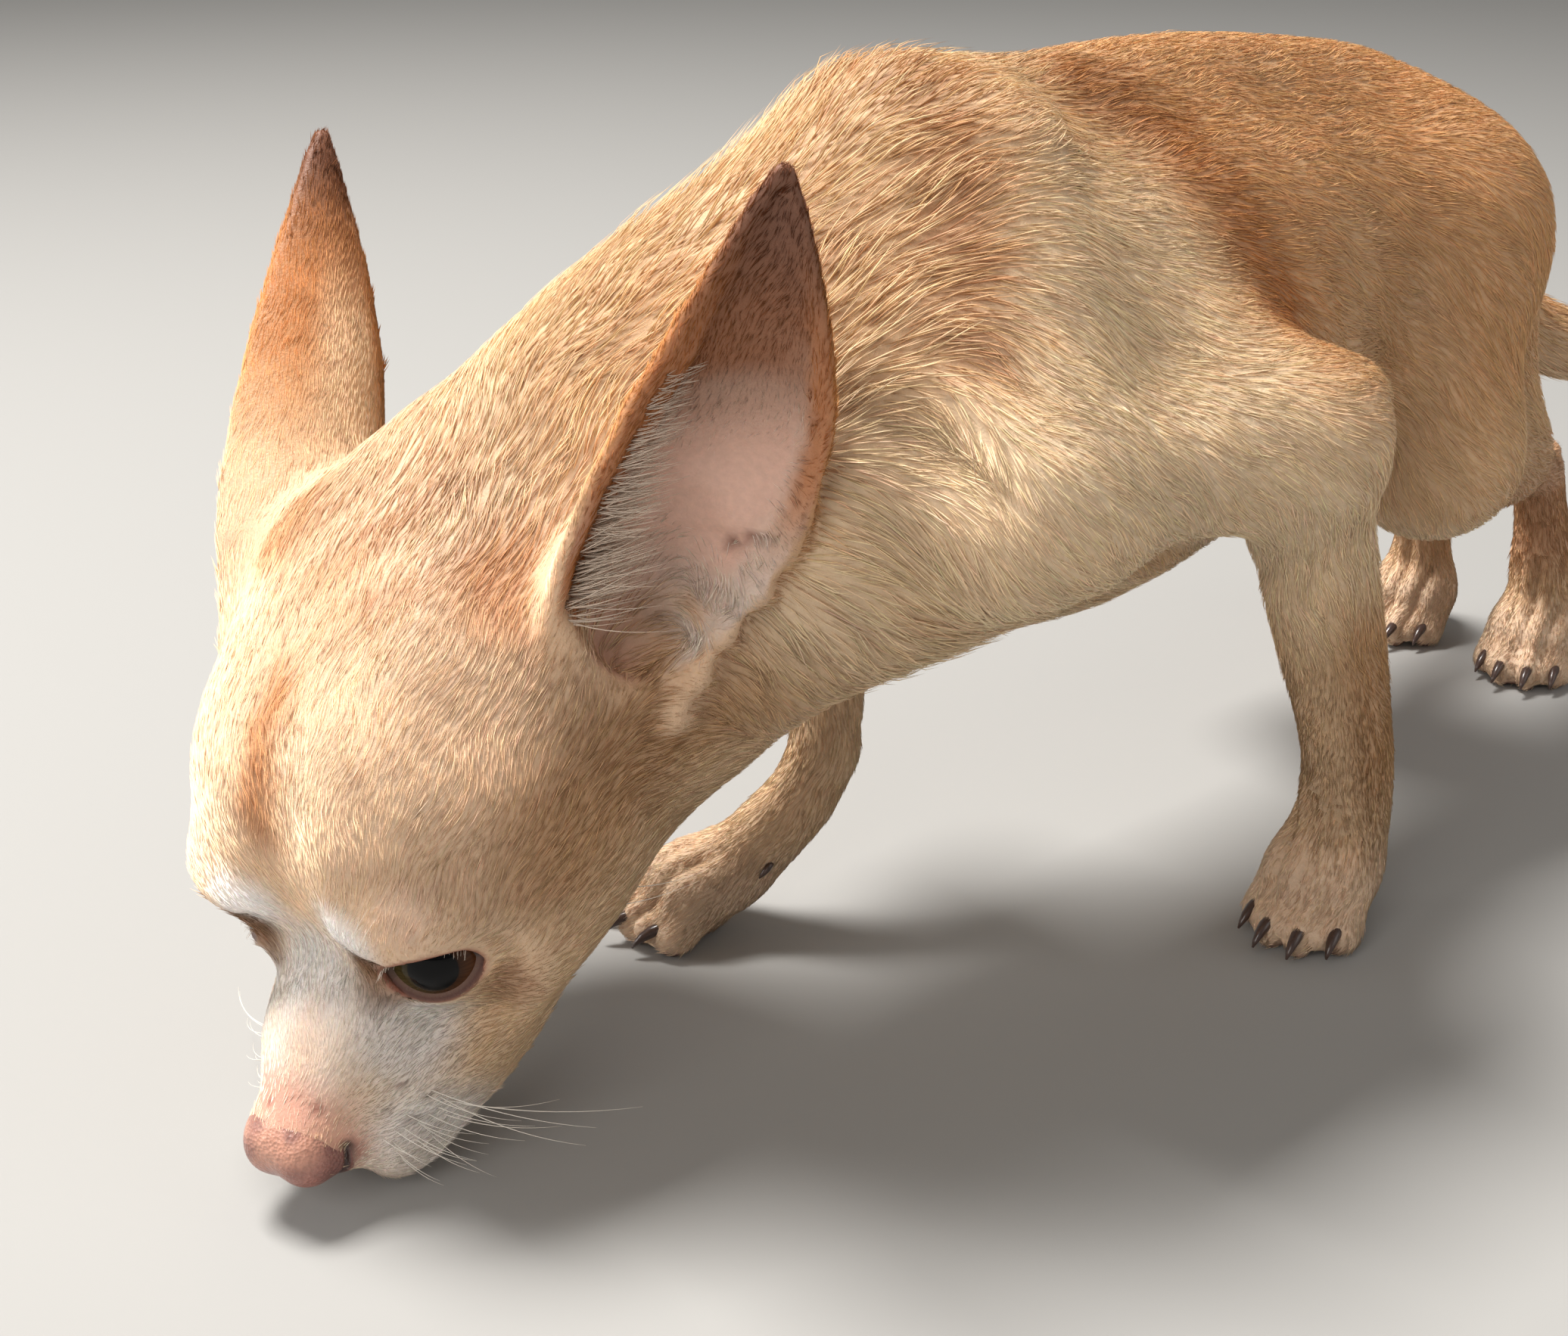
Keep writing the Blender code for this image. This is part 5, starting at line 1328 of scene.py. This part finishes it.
def roots(count, seed):
    """Places spread evenly over the skin by how many tufts each face wants: the face, and where in it."""
    rng = np.random.default_rng(seed)
    share = np.cumsum(areas * many_here[skin_faces].mean(axis=1))
    at = (np.arange(count) + rng.random(count)) / count * share[-1]
    face = np.minimum(np.searchsorted(share, at), len(skin_faces) - 1)
    return face, rng.random((count, 2))


def bilinear(values, u, v):
    """Values at a face's four corners, mixed at (u, v) in it."""
    u, v = u[:, None], v[:, None]
    return (1 - u) * (1 - v) * values[:, 0] + u * (1 - v) * values[:, 1] + u * v * values[:, 2] + (1 - u) * v * values[:, 3]


TUFTS = int(wanted)
rng = np.random.default_rng(21)
root_face, root_uv = roots(TUFTS, 20)
u, v = root_uv.T
root_at = bilinear(skin_points[skin_faces[root_face]], u, v)
root_n = bilinear(skin_normals[skin_faces[root_face]], u, v)
root_n /= np.linalg.norm(root_n, axis=1)[:, None]
root_patch = bilinear(unwrap[root_face], u, v)
root_place = Place(root_at, root_n)
length = hair_length(root_place) * rng.uniform(0.72, 1.22, TUFTS)
width = hair_width(length) * rng.uniform(0.75, 1.25, TUFTS)
lean = lie_of_hair(root_at, root_n)
aside = np.cross(root_n, lean)
swing = 0.20 * ripple(root_at, 0.016, 11) + 0.16 * ripple(root_at, 0.005, 12) + rng.normal(0, 0.10, TUFTS)
lean = lean * np.cos(swing)[:, None] + aside * np.sin(swing)[:, None]
aside = np.cross(root_n, lean)
lift = 0.10 + 0.12 * near_to(root_at, (-0.095, 0.008, 0.135), 0.055) + 0.05 * (length > 0.009)
lift = lift * rng.uniform(0.5, 1.5, TUFTS) * (1 - 0.35 * root_place.in_ear)
tone = coat_colour(root_place) * rng.uniform(0.86, 1.10, TUFTS)[:, None]
tone = tone * (1 + rng.normal(0, 0.03, (TUFTS, 3)))


def bent(share):
    """The middle line of every tuft at this share of its length, held at its height over the skin."""
    p = root_at + lean * (length * share)[:, None]
    wanted_height = lift * length * share * (1.25 - 0.55 * share) + 0.00006
    p = p + root_n * wanted_height[:, None]
    over, n, near = height_over_skin(p)
    fix = np.where(near, np.clip(wanted_height - over, -0.0030, 0.0030), 0)
    p = p + n * fix[:, None]
    p[:, 2] = np.maximum(p[:, 2], 0.0004)
    return p


def blades(which):
    """Points and triangles of the tufts numbered in which: seven points each with a knee, four without."""
    kneed = length[which[0]] > 0.0042
    base, side, up = root_at[which], aside[which], root_n[which]
    half, tall = width[which][:, None] / 2, width[which][:, None] * 0.42
    foot = base - up * 0.00025 - lean[which] * 0.0002
    rings = [foot + side * half, foot - side * half, foot + up * (tall + 0.0002)]
    if kneed:
        middle = MIDDLES[which]
        rings += [middle + side * half * 0.85, middle - side * half * 0.85, middle + up * tall * 0.85]
    points = np.stack([*rings, TIPS[which]], axis=1)
    if kneed:
        faces = np.array([(0, 1, 2), (0, 3, 1), (1, 3, 4), (1, 4, 2), (2, 4, 5), (2, 5, 0), (0, 5, 3),
                          (3, 6, 4), (4, 6, 5), (5, 6, 3)])
        shade = np.array([0.86, 0.86, 0.90, 1.00, 1.00, 1.02, 1.10])
        patch = np.array([(-1, -1), (1, -1), (0, -1), (-0.8, 0), (0.8, 0), (0, 0), (0, 1)])
    else:
        faces = np.array([(0, 1, 2), (0, 3, 1), (1, 3, 2), (2, 3, 0)])
        shade = np.array([0.90, 0.90, 0.94, 1.08])
        patch = np.array([(-1, -1), (1, -1), (0, -1), (0, 1)])
    size = points.shape[1]
    every = (np.arange(len(which))[:, None, None] * size + faces[None]).reshape(-1, 3)
    colours = (tone[which][:, None] * shade[None, :, None]).reshape(-1, 3)
    uv = (root_patch[which][:, None] + patch[None] * 0.0015).reshape(-1, 2)
    return points.reshape(-1, 3), every, colours, uv[every.ravel()]


MIDDLES, TIPS = bent(0.52), bent(1.0)
hair_finish, tree, shader = finish("short_hair", 0.55, specular=0.22)
toned(tree, shader, 0.05, 1400)
coat_pieces = []


def coat(name, chosen, slot):
    """The chosen tufts as pieces of fewer than 190,000 triangles each."""
    for kneed, many in ((False, 4), (True, 10)):
        some = np.flatnonzero(chosen & ((length > 0.0042) == kneed))
        for turn, part in enumerate(np.array_split(some, max(1, -(-len(some) * many // 190000)))):
            if len(part) == 0:
                continue
            points, faces, colours, uv = blades(part)
            piece = solid(f"coat_{name}_{'long' if kneed else 'short'}_{turn + 1}", points, faces, hair_finish, colours)
            layer = piece.data.uv_layers.new(name="OFBake")
            layer.data.foreach_set("uv", uv.astype(np.float32).ravel())
            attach(piece, "root")
            coat_pieces.append((piece.name, len(faces)))


on_ear = root_place.in_ear > 0.5
on_head = (root_place.on_head > 0.5) & ~on_ear
on_leg = ~on_head & ~on_ear & (root_at[:, 2] < 0.066)
coat("ears", on_ear, "ear_coat")
coat("face", on_head & (root_place.q[:, 0] > -0.012), "fawn_coat")
coat("skull", on_head & (root_place.q[:, 0] <= -0.012), "fawn_coat")
coat("legs", on_leg, "cream_coat")
coat("front", ~on_head & ~on_ear & ~on_leg & (root_at[:, 0] < -0.045), "fawn_coat")
coat("back", ~on_head & ~on_ear & ~on_leg & (root_at[:, 0] >= -0.045), "fawn_coat")
print("coat pieces:", coat_pieces, "in all", sum(many for _, many in coat_pieces), "triangles")

# %% [markdown]
# ## Eyes
# A dog's eye is almost a ball, and its clear window stands a little proud. It is a grid of
# rings round the direction in which the eye looks, closed at both poles. The pupil, the brown
# iris with its fibres, the dark ring round it and the white are colours worked out from the
# angle to that direction, so they stay sharp at any size. A clear coat over them gives the
# wet shine.

# %% The eyeballs
EYE_BALL = EYE_RADIUS * HEAD_SIZE


def capped(rings, turns):
    """Quads between rings of points, closed by one point at each end, as triangles: (ring, turn) counted outwards."""
    a = (np.arange(rings - 1)[:, None] * turns + np.arange(turns)).ravel()
    b = (np.arange(rings - 1)[:, None] * turns + (np.arange(turns) + 1) % turns).ravel()
    sides = np.concatenate([np.stack([a, b, b + turns], axis=1), np.stack([a, b + turns, a + turns], axis=1)])
    i, j = np.arange(turns), (np.arange(turns) + 1) % turns
    first, last = rings * turns, rings * turns + 1
    start = np.stack([np.full(turns, first), j, i], axis=1)
    end = np.stack([np.full(turns, last), i + (rings - 1) * turns, j + (rings - 1) * turns], axis=1)
    return np.concatenate([sides, start, end])


def eye_colour(angle, around):
    """Pupil, iris, ring and white by the angle from the look, in degrees; around is 0 towards the outer corner."""
    c = np.repeat(paint(6, 6, 8)[None], len(angle), axis=0)
    iris = mixed(np.repeat(paint(74, 44, 24)[None], len(angle), axis=0), paint(70, 66, 38), 0.25 - 0.5 * np.cos(around))
    fibres = 1 + 0.22 * np.sin(61 * around + 2 * np.sin(17 * around)) * ease(angle, 24, 30)
    iris = iris * (fibres * (0.55 + 0.55 * ease(angle, 24, 40)))[:, None]
    c = mixed(c, iris, ease(angle, 23.5, 26.0))
    c = mixed(c, paint(24, 16, 14), ease(angle, 45, 49))
    white = mixed(np.repeat(paint(176, 156, 142)[None], len(angle), axis=0), paint(130, 84, 72), ease(angle, 54, 60))
    return mixed(c, white, ease(angle, 50.5, 52.5))


eye_finish, tree, shader = finish("wet_eye", 0.25, specular=0.0, coat=0.8)
tone_node = tree.nodes.new("ShaderNodeAttribute")
tone_node.attribute_name = "tone"
tree.links.new(tone_node.outputs["Color"], shader.inputs["Base Color"])
shader.inputs["Coat Roughness"].default_value = 0.015
shader.inputs["Coat IOR"].default_value = 1.27
angle = np.concatenate([np.linspace(0.7, 64, 72), np.linspace(68, 176, 22)])
around = np.linspace(0, 2 * np.pi, 144, endpoint=False)
ANGLE, AROUND = [grid.ravel() for grid in np.meshgrid(angle, around, indexing="ij")]
for side, name in ((1, "left"), (-1, "right")):
    middle, look, outer, top = eye_frame(side)
    turned = around * side
    ANGLES, AROUNDS = np.append(ANGLE, (0, 180)), np.append(AROUND, (0, 0))
    bulge = 0.00045 * (1 - ease(ANGLES, 6, 46)) - 0.00012 * hump(ANGLES - 50, 3.5)
    out = np.cos(np.radians(ANGLES))[:, None] * look + np.sin(np.radians(ANGLES))[:, None] * (
        np.cos(AROUNDS)[:, None] * outer + np.sin(AROUNDS)[:, None] * top)
    points = from_head(middle + out * ((EYE_BALL + bulge) / HEAD_SIZE)[:, None])
    faces = capped(len(angle), len(around))
    faces = faces if np.linalg.det(np.stack([outer, top, look])) < 0 else faces[:, ::-1]
    piece = solid("eyeball_" + name, points, faces, eye_finish, eye_colour(ANGLES, AROUNDS))
    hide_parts("eye_" + name)
    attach(piece, "root")
    print(piece.name, "volume", round(float(np.linalg.det(points[faces] - points.mean(0)).sum() / 6 * 1e9)), "cubic mm")

# %% [markdown]
# ## Eyelids
# The lids are one ring of skin round each eye: a dark wet edge that rests on the ball, a
# rounded margin, and a slope that runs out under the coat. Its outline is the same almond
# that the skin was opened with. Going out from that edge the ring first hugs the ball and then
# meets the skin, whose distance from the eye's middle is measured along each direction.

# %% The lids
LID_ANGLE = np.array([-4.0, -1.5, 0.0, 1.2, 2.8, 5.0, 7.5, 10.0, 13.0, 16.0, 19.5, 23.0])
LID_HEIGHT = np.array([-0.00030, 0.00012, 0.00042, 0.00072, 0.00095, 0.00112, 0.00120, 0.00125, 0.00125, 0.0012, 0.0011, 0.0010])


def reach_of_skin(origin, ways):
    """How far from the origin each direction meets the skin, from samples a quarter of a millimetre apart."""
    reach = np.arange(0.0040, 0.0200, 0.00025)
    p = origin + ways[:, None] * reach[:, None]
    d = trunk(p) + coat_depth(p)
    outside = np.argmax(d > 0, axis=1)
    rows = np.arange(len(ways))
    a, b = d[rows, outside - 1], d[rows, outside]
    return reach[outside - 1] + 0.00025 * np.clip(a / np.minimum(a - b, -1e-9), 0, 1)


def almond(around):
    """The opening's edge, (x/a)^2 + (y/b)^1.6 = 1, at each turn: x and y in head sizes."""
    x = EYE_LENGTH * np.cos(around)
    y = np.where(np.sin(around) > 0, EYE_TOP, -EYE_FOOT) * np.abs(np.sin(around)) ** 1.25
    return x, y


def lid_shape(side, turns=120):
    """Points (section, turn) of the ring: over it from the edge outwards, then back underneath; and their angles."""
    middle, look, outer, top = eye_frame(side)
    around = np.linspace(0, 2 * np.pi, turns, endpoint=False)
    x, y = almond(around)
    flat = np.hypot(x, y)
    away = (x[:, None] * outer + y[:, None] * top) / flat[:, None]
    start = np.degrees(np.arcsin(flat / EYE_RADIUS))
    angle = np.radians(start + LID_ANGLE[:, None])
    ways = np.cos(angle)[..., None] * look + np.sin(angle)[..., None] * away
    ways = ways @ HEAD_AXES.T
    land = reach_of_skin(from_head(middle), ways.reshape(-1, 3)).reshape(angle.shape)
    land = land + relief(from_head(middle) + ways * land[..., None])
    grown = LID_ANGLE[:, None] + 0 * angle
    ball = EYE_BALL + LID_HEIGHT[:, None]
    reach = ball + (land + 0.00012 - ball) * ease(grown, 4, 15) - 0.0007 * ease(grown, 13, 21)
    upper = ease(np.sin(around), 0.05, 0.5)
    reach = reach - 0.00040 * hump(grown - 8.5, 1.8) * upper + 0.00030 * hump(grown - 4.0, 2.0) * upper
    reach = reach - 0.00020 * hump(grown - 9.0, 2.5) * (1 - upper)
    under = np.minimum(EYE_BALL - 0.0004 + (land - 0.0016 - EYE_BALL) * ease(grown, 8, 20), reach - 0.0003)
    over = from_head(middle) + ways * reach[..., None]
    back = (from_head(middle) + ways * under[..., None])[::-1][1:-1]
    return np.concatenate([over, back]), grown, around


def torus_faces(rings, turns):
    """Four-sided faces of a grid that closes on itself both ways."""
    i, j = [grid.ravel() for grid in np.meshgrid(np.arange(rings), np.arange(turns), indexing="ij")]
    ahead_i, ahead_j = (i + 1) % rings, (j + 1) % turns
    return np.stack([i * turns + j, ahead_i * turns + j, ahead_i * turns + ahead_j, i * turns + ahead_j], axis=1)


def outwards(points, faces):
    """The faces as they are, or turned round where the volume they hold comes out negative."""
    fan = points[faces[:, [0, 1, 2]]] - points.mean(axis=0)
    held = np.linalg.det(fan).sum()
    if faces.shape[1] == 4:
        held += np.linalg.det(points[faces[:, [0, 2, 3]]] - points.mean(axis=0)).sum()
    return faces if held > 0 else faces[:, ::-1]


lid_finish, tree, shader = finish("lid_skin", 0.42, specular=0.45, subsurface=0.10)
place = toned(tree, shader, 0.10, 1500)
pebbled(tree, shader, place, 3000, 0.00010)
for side, name in ((1, "left"), (-1, "right")):
    shape, grown, around = lid_shape(side)
    rings, turns = shape.shape[:2]
    points = shape.reshape(-1, 3)
    faces = outwards(points, torus_faces(rings, turns))
    normals = point_normals(points, faces)
    # The coat's colour darkened as painted shade of the hair, as on the skin, where the lid runs under the coat.
    coat_tone = coat_colour(Place(points, normals)) * 0.80
    angle = np.concatenate([LID_ANGLE, LID_ANGLE[::-1][1:-1]])[:, None].repeat(turns, axis=1).ravel()
    upper = np.tile(ease(np.sin(around), -0.2, 0.3), rings)
    margin = mixed(np.repeat(paint(104, 74, 60)[None], len(points), axis=0), paint(34, 22, 20), upper)
    c = mixed(margin, paint(84, 50, 40), ease(angle, -0.4, 0.8))
    c = mixed(c, paint(140, 96, 78), ease(angle, 2.0, 6.0))
    c = mixed(c, coat_tone, ease(angle, 6.0, 12.0))
    corner = np.tile(ease(-np.cos(around), 0.86, 0.98), rings) * (1 - ease(angle, 8, 14))
    c = mixed(c, paint(88, 62, 44), 0.7 * corner)
    piece = solid("eyelids_" + name, points, faces, lid_finish, c)
    smooth = piece.modifiers.new("rounder", "SUBSURF")
    smooth.levels = smooth.render_levels = 1
    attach(piece, "root")
print("lids:", rings, "by", turns, "points each")

# %% [markdown]
# ## Nose
# The nose is bare leather, covered with pebbles half a millimetre wide. Each nostril is a
# round hole that runs out into a slit behind a soft wing, and a groove parts the two sides.
# It is cut from the same distances as in the solids, on its own fine net. The pebbles are rounded cells in the bump.

# %% The nose's shape


def nose(p):
    """The block less the nostrils, their slits and the middle groove."""
    q = to_head(p)
    d = nose_block(p) / HEAD_SIZE
    d = carve(d, nostrils(q), 0.0007)
    groove = np.hypot(q[..., 1], np.maximum(0, NOSE_AT[0] + 0.0046 - q[..., 0])) - 0.00022
    below = ease(NOSE_AT[2] + 0.0010 - q[..., 2], 0, 0.0020)
    d = d + 0.0005 * below * hump(q[..., 1], 0.00035) * (q[..., 0] > NOSE_AT[0])
    return carve(d, groove + 0.003 * (1 - below), 0.0004) * HEAD_SIZE


nose_middle = from_head(NOSE_AT)
nose_lines = [np.linspace(c - 0.0115, c + 0.0115, 68) for c in nose_middle]
nose_points, nose_faces = biggest(*net(nose, nose_lines))
nose_points = onto(nose, nose_points, 3)
nose_normals = point_normals(nose_points, nose_faces)
nose_q = to_head(nose_points)
tone_of_nose = np.repeat(paint(158, 104, 92)[None], len(nose_points), axis=0)
tone_of_nose = mixed(tone_of_nose, paint(198, 146, 124), ease(nose_q[:, 2] - NOSE_AT[2], 0.0010, 0.0055) * 0.85)
tone_of_nose = mixed(tone_of_nose, paint(118, 72, 68), ease(ripple(nose_points, 0.0060, 31), -0.1, 0.9) * 0.65)
# Painted shade round each nostril's slit.
for s in (1, -1):
    beside = np.linalg.norm(nose_q - (NOSE_AT + vec(0.0016, s * 0.0066, -0.0016)), axis=1)
    tone_of_nose = mixed(tone_of_nose, paint(104, 60, 52), 0.75 * (1 - ease(beside, 0.0012, 0.0040)))
# Painted shade inside the nostrils.
tone_of_nose = mixed(tone_of_nose, paint(52, 29, 26), 0.90 * (1 - ease(nostrils(nose_q), 0.0001, 0.0007)))
leather_finish, tree, shader = finish("nose_leather", 0.36, specular=0.5, coat=0.25, subsurface=0.08)
shader.inputs["Coat Roughness"].default_value = 0.25
place = toned(tree, shader, 0.16, 1100)
pebbles = pebbled(tree, shader, place, 1900, 0.00016, "ShaderNodeTexVoronoi")
nose_piece = solid("nose_pebbled", nose_points, outwards(nose_points, nose_faces), leather_finish, tone_of_nose)
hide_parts("nose")
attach(nose_piece, "root")
print("nose:", len(nose_faces), "faces")

# %% [markdown]
# ## Claws, whiskers and long hairs
# All of these are thin round things that taper and bend: a line of points, a radius at each,
# and a ring of points round the line at every one. One function makes any number of them at
# once as arrays. Claws have ten sides because they are seen close by, hairs have three.

# %% Tapered strands


def strands(paths, radii, sides=3):
    """Closed tubes: lines (n, k, 3), radii (n, k). A ring stands square to its line, a point closes each end."""
    n, k = paths.shape[:2]
    along = np.gradient(paths, axis=1)
    along /= np.maximum(np.linalg.norm(along, axis=2), 1e-12)[..., None]
    chord = paths[:, -1] - paths[:, 0]
    flat = np.abs(chord[:, 2]) < 0.8 * np.linalg.norm(chord, axis=1)
    helper = np.where(flat[:, None], vec(0, 0, 1), vec(1, 0, 0))[:, None]
    across = np.cross(along, helper)
    across /= np.linalg.norm(across, axis=2)[..., None]
    over = np.cross(along, across)
    turn = np.arange(sides) * 2 * np.pi / sides
    ring = np.cos(turn)[:, None] * across[:, :, None] + np.sin(turn)[:, None] * over[:, :, None]
    ring = paths[:, :, None] + radii[..., None, None] * ring
    points = np.concatenate([ring.reshape(n, -1, 3), paths[:, :1], paths[:, -1:]], axis=1)
    faces = capped(k, sides)
    every = (np.arange(n)[:, None, None] * points.shape[1] + faces).reshape(-1, 3)
    return points.reshape(-1, 3), every


def arcs(start, way, droop, length, steps=7):
    """Lines that leave start along way and bend towards droop: start + way s + droop s^2, cut in steps."""
    s = np.linspace(0, 1, steps)[None, :, None] * length[:, None, None]
    return start[:, None] + way[:, None] * s + droop[:, None] * s * s / np.maximum(length, 1e-9)[:, None, None]


def add_strands(name, paths, radii, material, colour, sides=3):
    """One piece of many strands, a shade darker at the root; colour is one tone or one for each strand."""
    points, faces = strands(paths, radii, sides)
    each = len(points) // len(paths)
    shade = np.concatenate([np.repeat(np.linspace(0.85, 1.10, paths.shape[1]), sides), [0.85, 1.10]])
    colours = np.broadcast_to(np.atleast_2d(colour), (len(paths), 3))[:, None] * shade[:, None]
    piece = solid(name, points, faces, material, colours.reshape(-1, 3))
    layer = piece.data.uv_layers.new(name="OFBake")
    strand = np.repeat(np.arange(len(paths)), len(faces) // len(paths))[:, None]
    patch = np.stack([strand % 40, strand // 40], axis=-1) / 40 + 0.01
    local = (faces % each)[..., None] / each * np.array([0.010, 0.012])
    layer.data.foreach_set("uv", (patch + local).astype(np.float32).ravel() % 1)
    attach(piece, "root")
    return piece


# %% Claws
horn_finish, tree, shader = finish("horn", 0.30, specular=0.5, coat=0.3)
toned(tree, shader, 0.25, 1800)


def claw_lines():
    """Four short bent claws on each foot, and on each forefoot the dewclaw on its inner side."""
    lines = []
    for leg, dew in ((LEFT_FORE, -1), (RIGHT_FORE, 1), (LEFT_HIND, 0), (RIGHT_HIND, 0)):
        c, s = np.cos(leg["heading"]), np.sin(leg["heading"])
        forward, left, up = vec(-c, -s, 0), vec(s, -c, 0), vec(0, 0, 1)
        for spread, reach, radius in TOES:
            tip = leg["toes"] + left * spread + forward * reach + up * (radius - 0.0087)
            way = unit(forward + left * spread * 18)
            bend = [way * 0.0012 + up * 0.0017, way * 0.0026 + up * 0.0018, way * 0.0042 + up * 0.0014,
                    way * 0.0058 + up * 0.0006, way * 0.0070 - up * 0.0004, way * 0.0079 - up * 0.0014]
            lines.append(tip + np.array(bend))
        if dew:
            inner = left * dew
            near = leg["toes"] + inner * 0.0080 - forward * 0.0125 + up * 0.0090
            root = onto(skin, near[None], 8)[0] - inner * 0.0008
            bend = [0 * up, inner * 0.0008 + forward * 0.0004 - up * 0.0002, inner * 0.0013 + forward * 0.0009 - up * 0.0007,
                    inner * 0.0016 + forward * 0.0015 - up * 0.0013, inner * 0.0017 + forward * 0.0020 - up * 0.0018,
                    inner * 0.0017 + forward * 0.0024 - up * 0.0023]
            lines.append(root + np.array(bend))
    return np.array(lines)


claw_paths = claw_lines()
claw_paths[..., 2] = np.maximum(claw_paths[..., 2], 0.0006)
claw_sizes = np.where(np.linalg.norm(claw_paths[:, -1] - claw_paths[:, 0], axis=1) < 0.0045, 0.6, 1.0)
claw_radii = claw_sizes[:, None] * np.array([0.00120, 0.00122, 0.00112, 0.00090, 0.00058, 0.00018])
claws = add_strands("claws", claw_paths, claw_radii, horn_finish, paint(70, 52, 46), 12)
print("claws:", len(claw_paths))

# %% Whiskers, lashes and brow hairs
hair_rng = np.random.default_rng(77)
long_finish, tree, shader = finish("long_hair", 0.38, specular=0.5)
toned(tree, shader, 0.04, 900)


def on_skin(q):
    """Points given on the head, moved onto its skin."""
    return onto(skin, from_head(q), 5)


def whiskers():
    """Four rows on each side of the muzzle, longer behind; two over each eye and two on each cheek."""
    start, way, droop, length = [], [], [], []
    for side in (1, -1):
        for row in range(4):
            for column in range(5):
                start.append((0.0272 - 0.0022 * column, side * (0.0112 + 0.0011 * column), -0.0098 - 0.0019 * row))
                way.append((0.30 - 0.07 * column, side * (0.92 - 0.04 * row), -0.46 - 0.05 * row))
                droop.append((-0.20, side * -0.10, -0.12))
                length.append(0.0075 + 0.0034 * column)
        for column in range(3):
            start.append((0.0040 + 0.0020 * column, side * (0.0090 + 0.0012 * column), 0.0130))
            way.append((-0.10, side * 0.35, 0.92))
            droop.append((-0.45, side * 0.20, -0.10))
            length.append(0.0090)
        for column in range(2):
            start.append((-0.0150 - 0.0020 * column, side * 0.0290, -0.0160 - 0.0020 * column))
            way.append((-0.45, side * 0.75, -0.45))
            droop.append((-0.30, 0, -0.20))
            length.append(0.0120)
    start, way, droop, length = [np.array(v, float) for v in (start, way, droop, length)]
    length = length * hair_rng.uniform(0.75, 1.2, len(length))
    way = way / np.linalg.norm(way, axis=1)[:, None] + hair_rng.normal(0, 0.10, way.shape)
    at = on_skin(start + hair_rng.normal(0, 0.0005, start.shape))
    return arcs(at, way @ HEAD_AXES.T, droop @ HEAD_AXES.T, length, 10), length


paths, length = whiskers()
paths[..., 2] = np.maximum(paths[..., 2], 0.0008)
radii = np.linspace(1, 0.15, 10) * (0.00007 + 0.0022 * length[:, None]) * 1.0
add_strands("whiskers", paths, radii, long_finish, paint(240, 232, 220), 4)

lash_start, lash_way, lash_droop = [], [], []
for side in (1, -1):
    middle, look, outer, top = eye_frame(side)
    along = np.radians(np.linspace(40, 172, 58)) + hair_rng.normal(0, 0.02, 58)
    x, y = almond(along)
    ahead_of = np.sqrt(EYE_RADIUS ** 2 - x * x - y * y)
    out = (x[:, None] * outer + y[:, None] * top + ahead_of[:, None] * look) / EYE_RADIUS
    lash_start.append(from_head(middle) + (out @ HEAD_AXES.T) * (EYE_BALL + 0.0012))
    way = look * 0.95 + top * 0.10 - outer * 0.10 + 0.25 * x[:, None] / EYE_LENGTH * outer
    lash_way.append((way + hair_rng.normal(0, 0.10, way.shape)) @ HEAD_AXES.T)
    lash_droop.append(np.repeat(((-top * 0.62 + look * 0.05 - outer * 0.15) @ HEAD_AXES.T)[None], 58, axis=0))
lash_start, lash_way, lash_droop = [np.concatenate(v) for v in (lash_start, lash_way, lash_droop)]
length = hair_rng.uniform(0.0013, 0.0024, len(lash_start))
radii = np.linspace(1, 0.25, 7) * np.full((len(length), 1), 0.00008)
add_strands("lashes", arcs(lash_start, lash_way, lash_droop, length), radii, long_finish, paint(232, 218, 204))
print("whiskers and lashes:", len(paths), len(lash_start))

# %% Long hairs from the front edge of each ear
ear_start, ear_way, ear_droop, ear_length = [], [], [], []
for side in (1, -1):
    root, length, axes = ear_axes(side)
    count = 1040
    low = np.arange(count) >= 640
    t = np.where(low, hair_rng.uniform(-0.10, 0.17, count), hair_rng.uniform(-0.06, 0.58, count))
    front = np.where(low, hair_rng.uniform(-0.95, 0.50, count), hair_rng.uniform(0.62, 0.98, count))
    half, sag = np.interp(t, EAR_HEIGHTS, EAR_HALF_WIDTHS), np.interp(t, EAR_HEIGHTS, EAR_DEPTHS)
    radius = (half * half + sag * sag) / (2 * sag)
    turn = -front * 2 * np.arctan2(sag, half)
    inner = radius - EAR_WALL
    x = inner * np.sin(turn) + EAR_BULGE * np.sin(np.pi * np.clip(t, 0, 1))
    y = radius - inner * np.cos(turn) - sag + 0.004
    ear_start.append(from_head(root + np.stack([x, y, t * length], axis=1) @ axes.T))
    across = np.where(low, 0.15, 0.55)
    way = np.stack([across, 0.55 + 0 * t, 0.55 + 0.25 * low], axis=1) + hair_rng.normal(0, 0.16, (count, 3))
    ear_way.append(way @ axes.T @ HEAD_AXES.T)
    ear_droop.append(np.repeat((vec(0.35, -0.42, 0.10) @ axes.T @ HEAD_AXES.T)[None], count, axis=0))
    longest = np.where(low, 0.0052, 0.0100 - 0.0084 * np.clip(t, 0, 0.60) / 0.60)
    ear_length.append(longest * hair_rng.uniform(0.6, 1.2, count))
ear_start, ear_way, ear_droop, ear_length = [np.concatenate(v) for v in (ear_start, ear_way, ear_droop, ear_length)]
radii = np.linspace(1, 0.2, 7) * (0.00007 + 0.008 * ear_length[:, None])
shades = paint(232, 214, 196) * hair_rng.uniform(0.8, 1.1, (len(ear_start), 1))
add_strands("ear_hairs", arcs(ear_start, ear_way, ear_droop, ear_length), radii, long_finish, shades)
print("ear hairs:", len(ear_start))
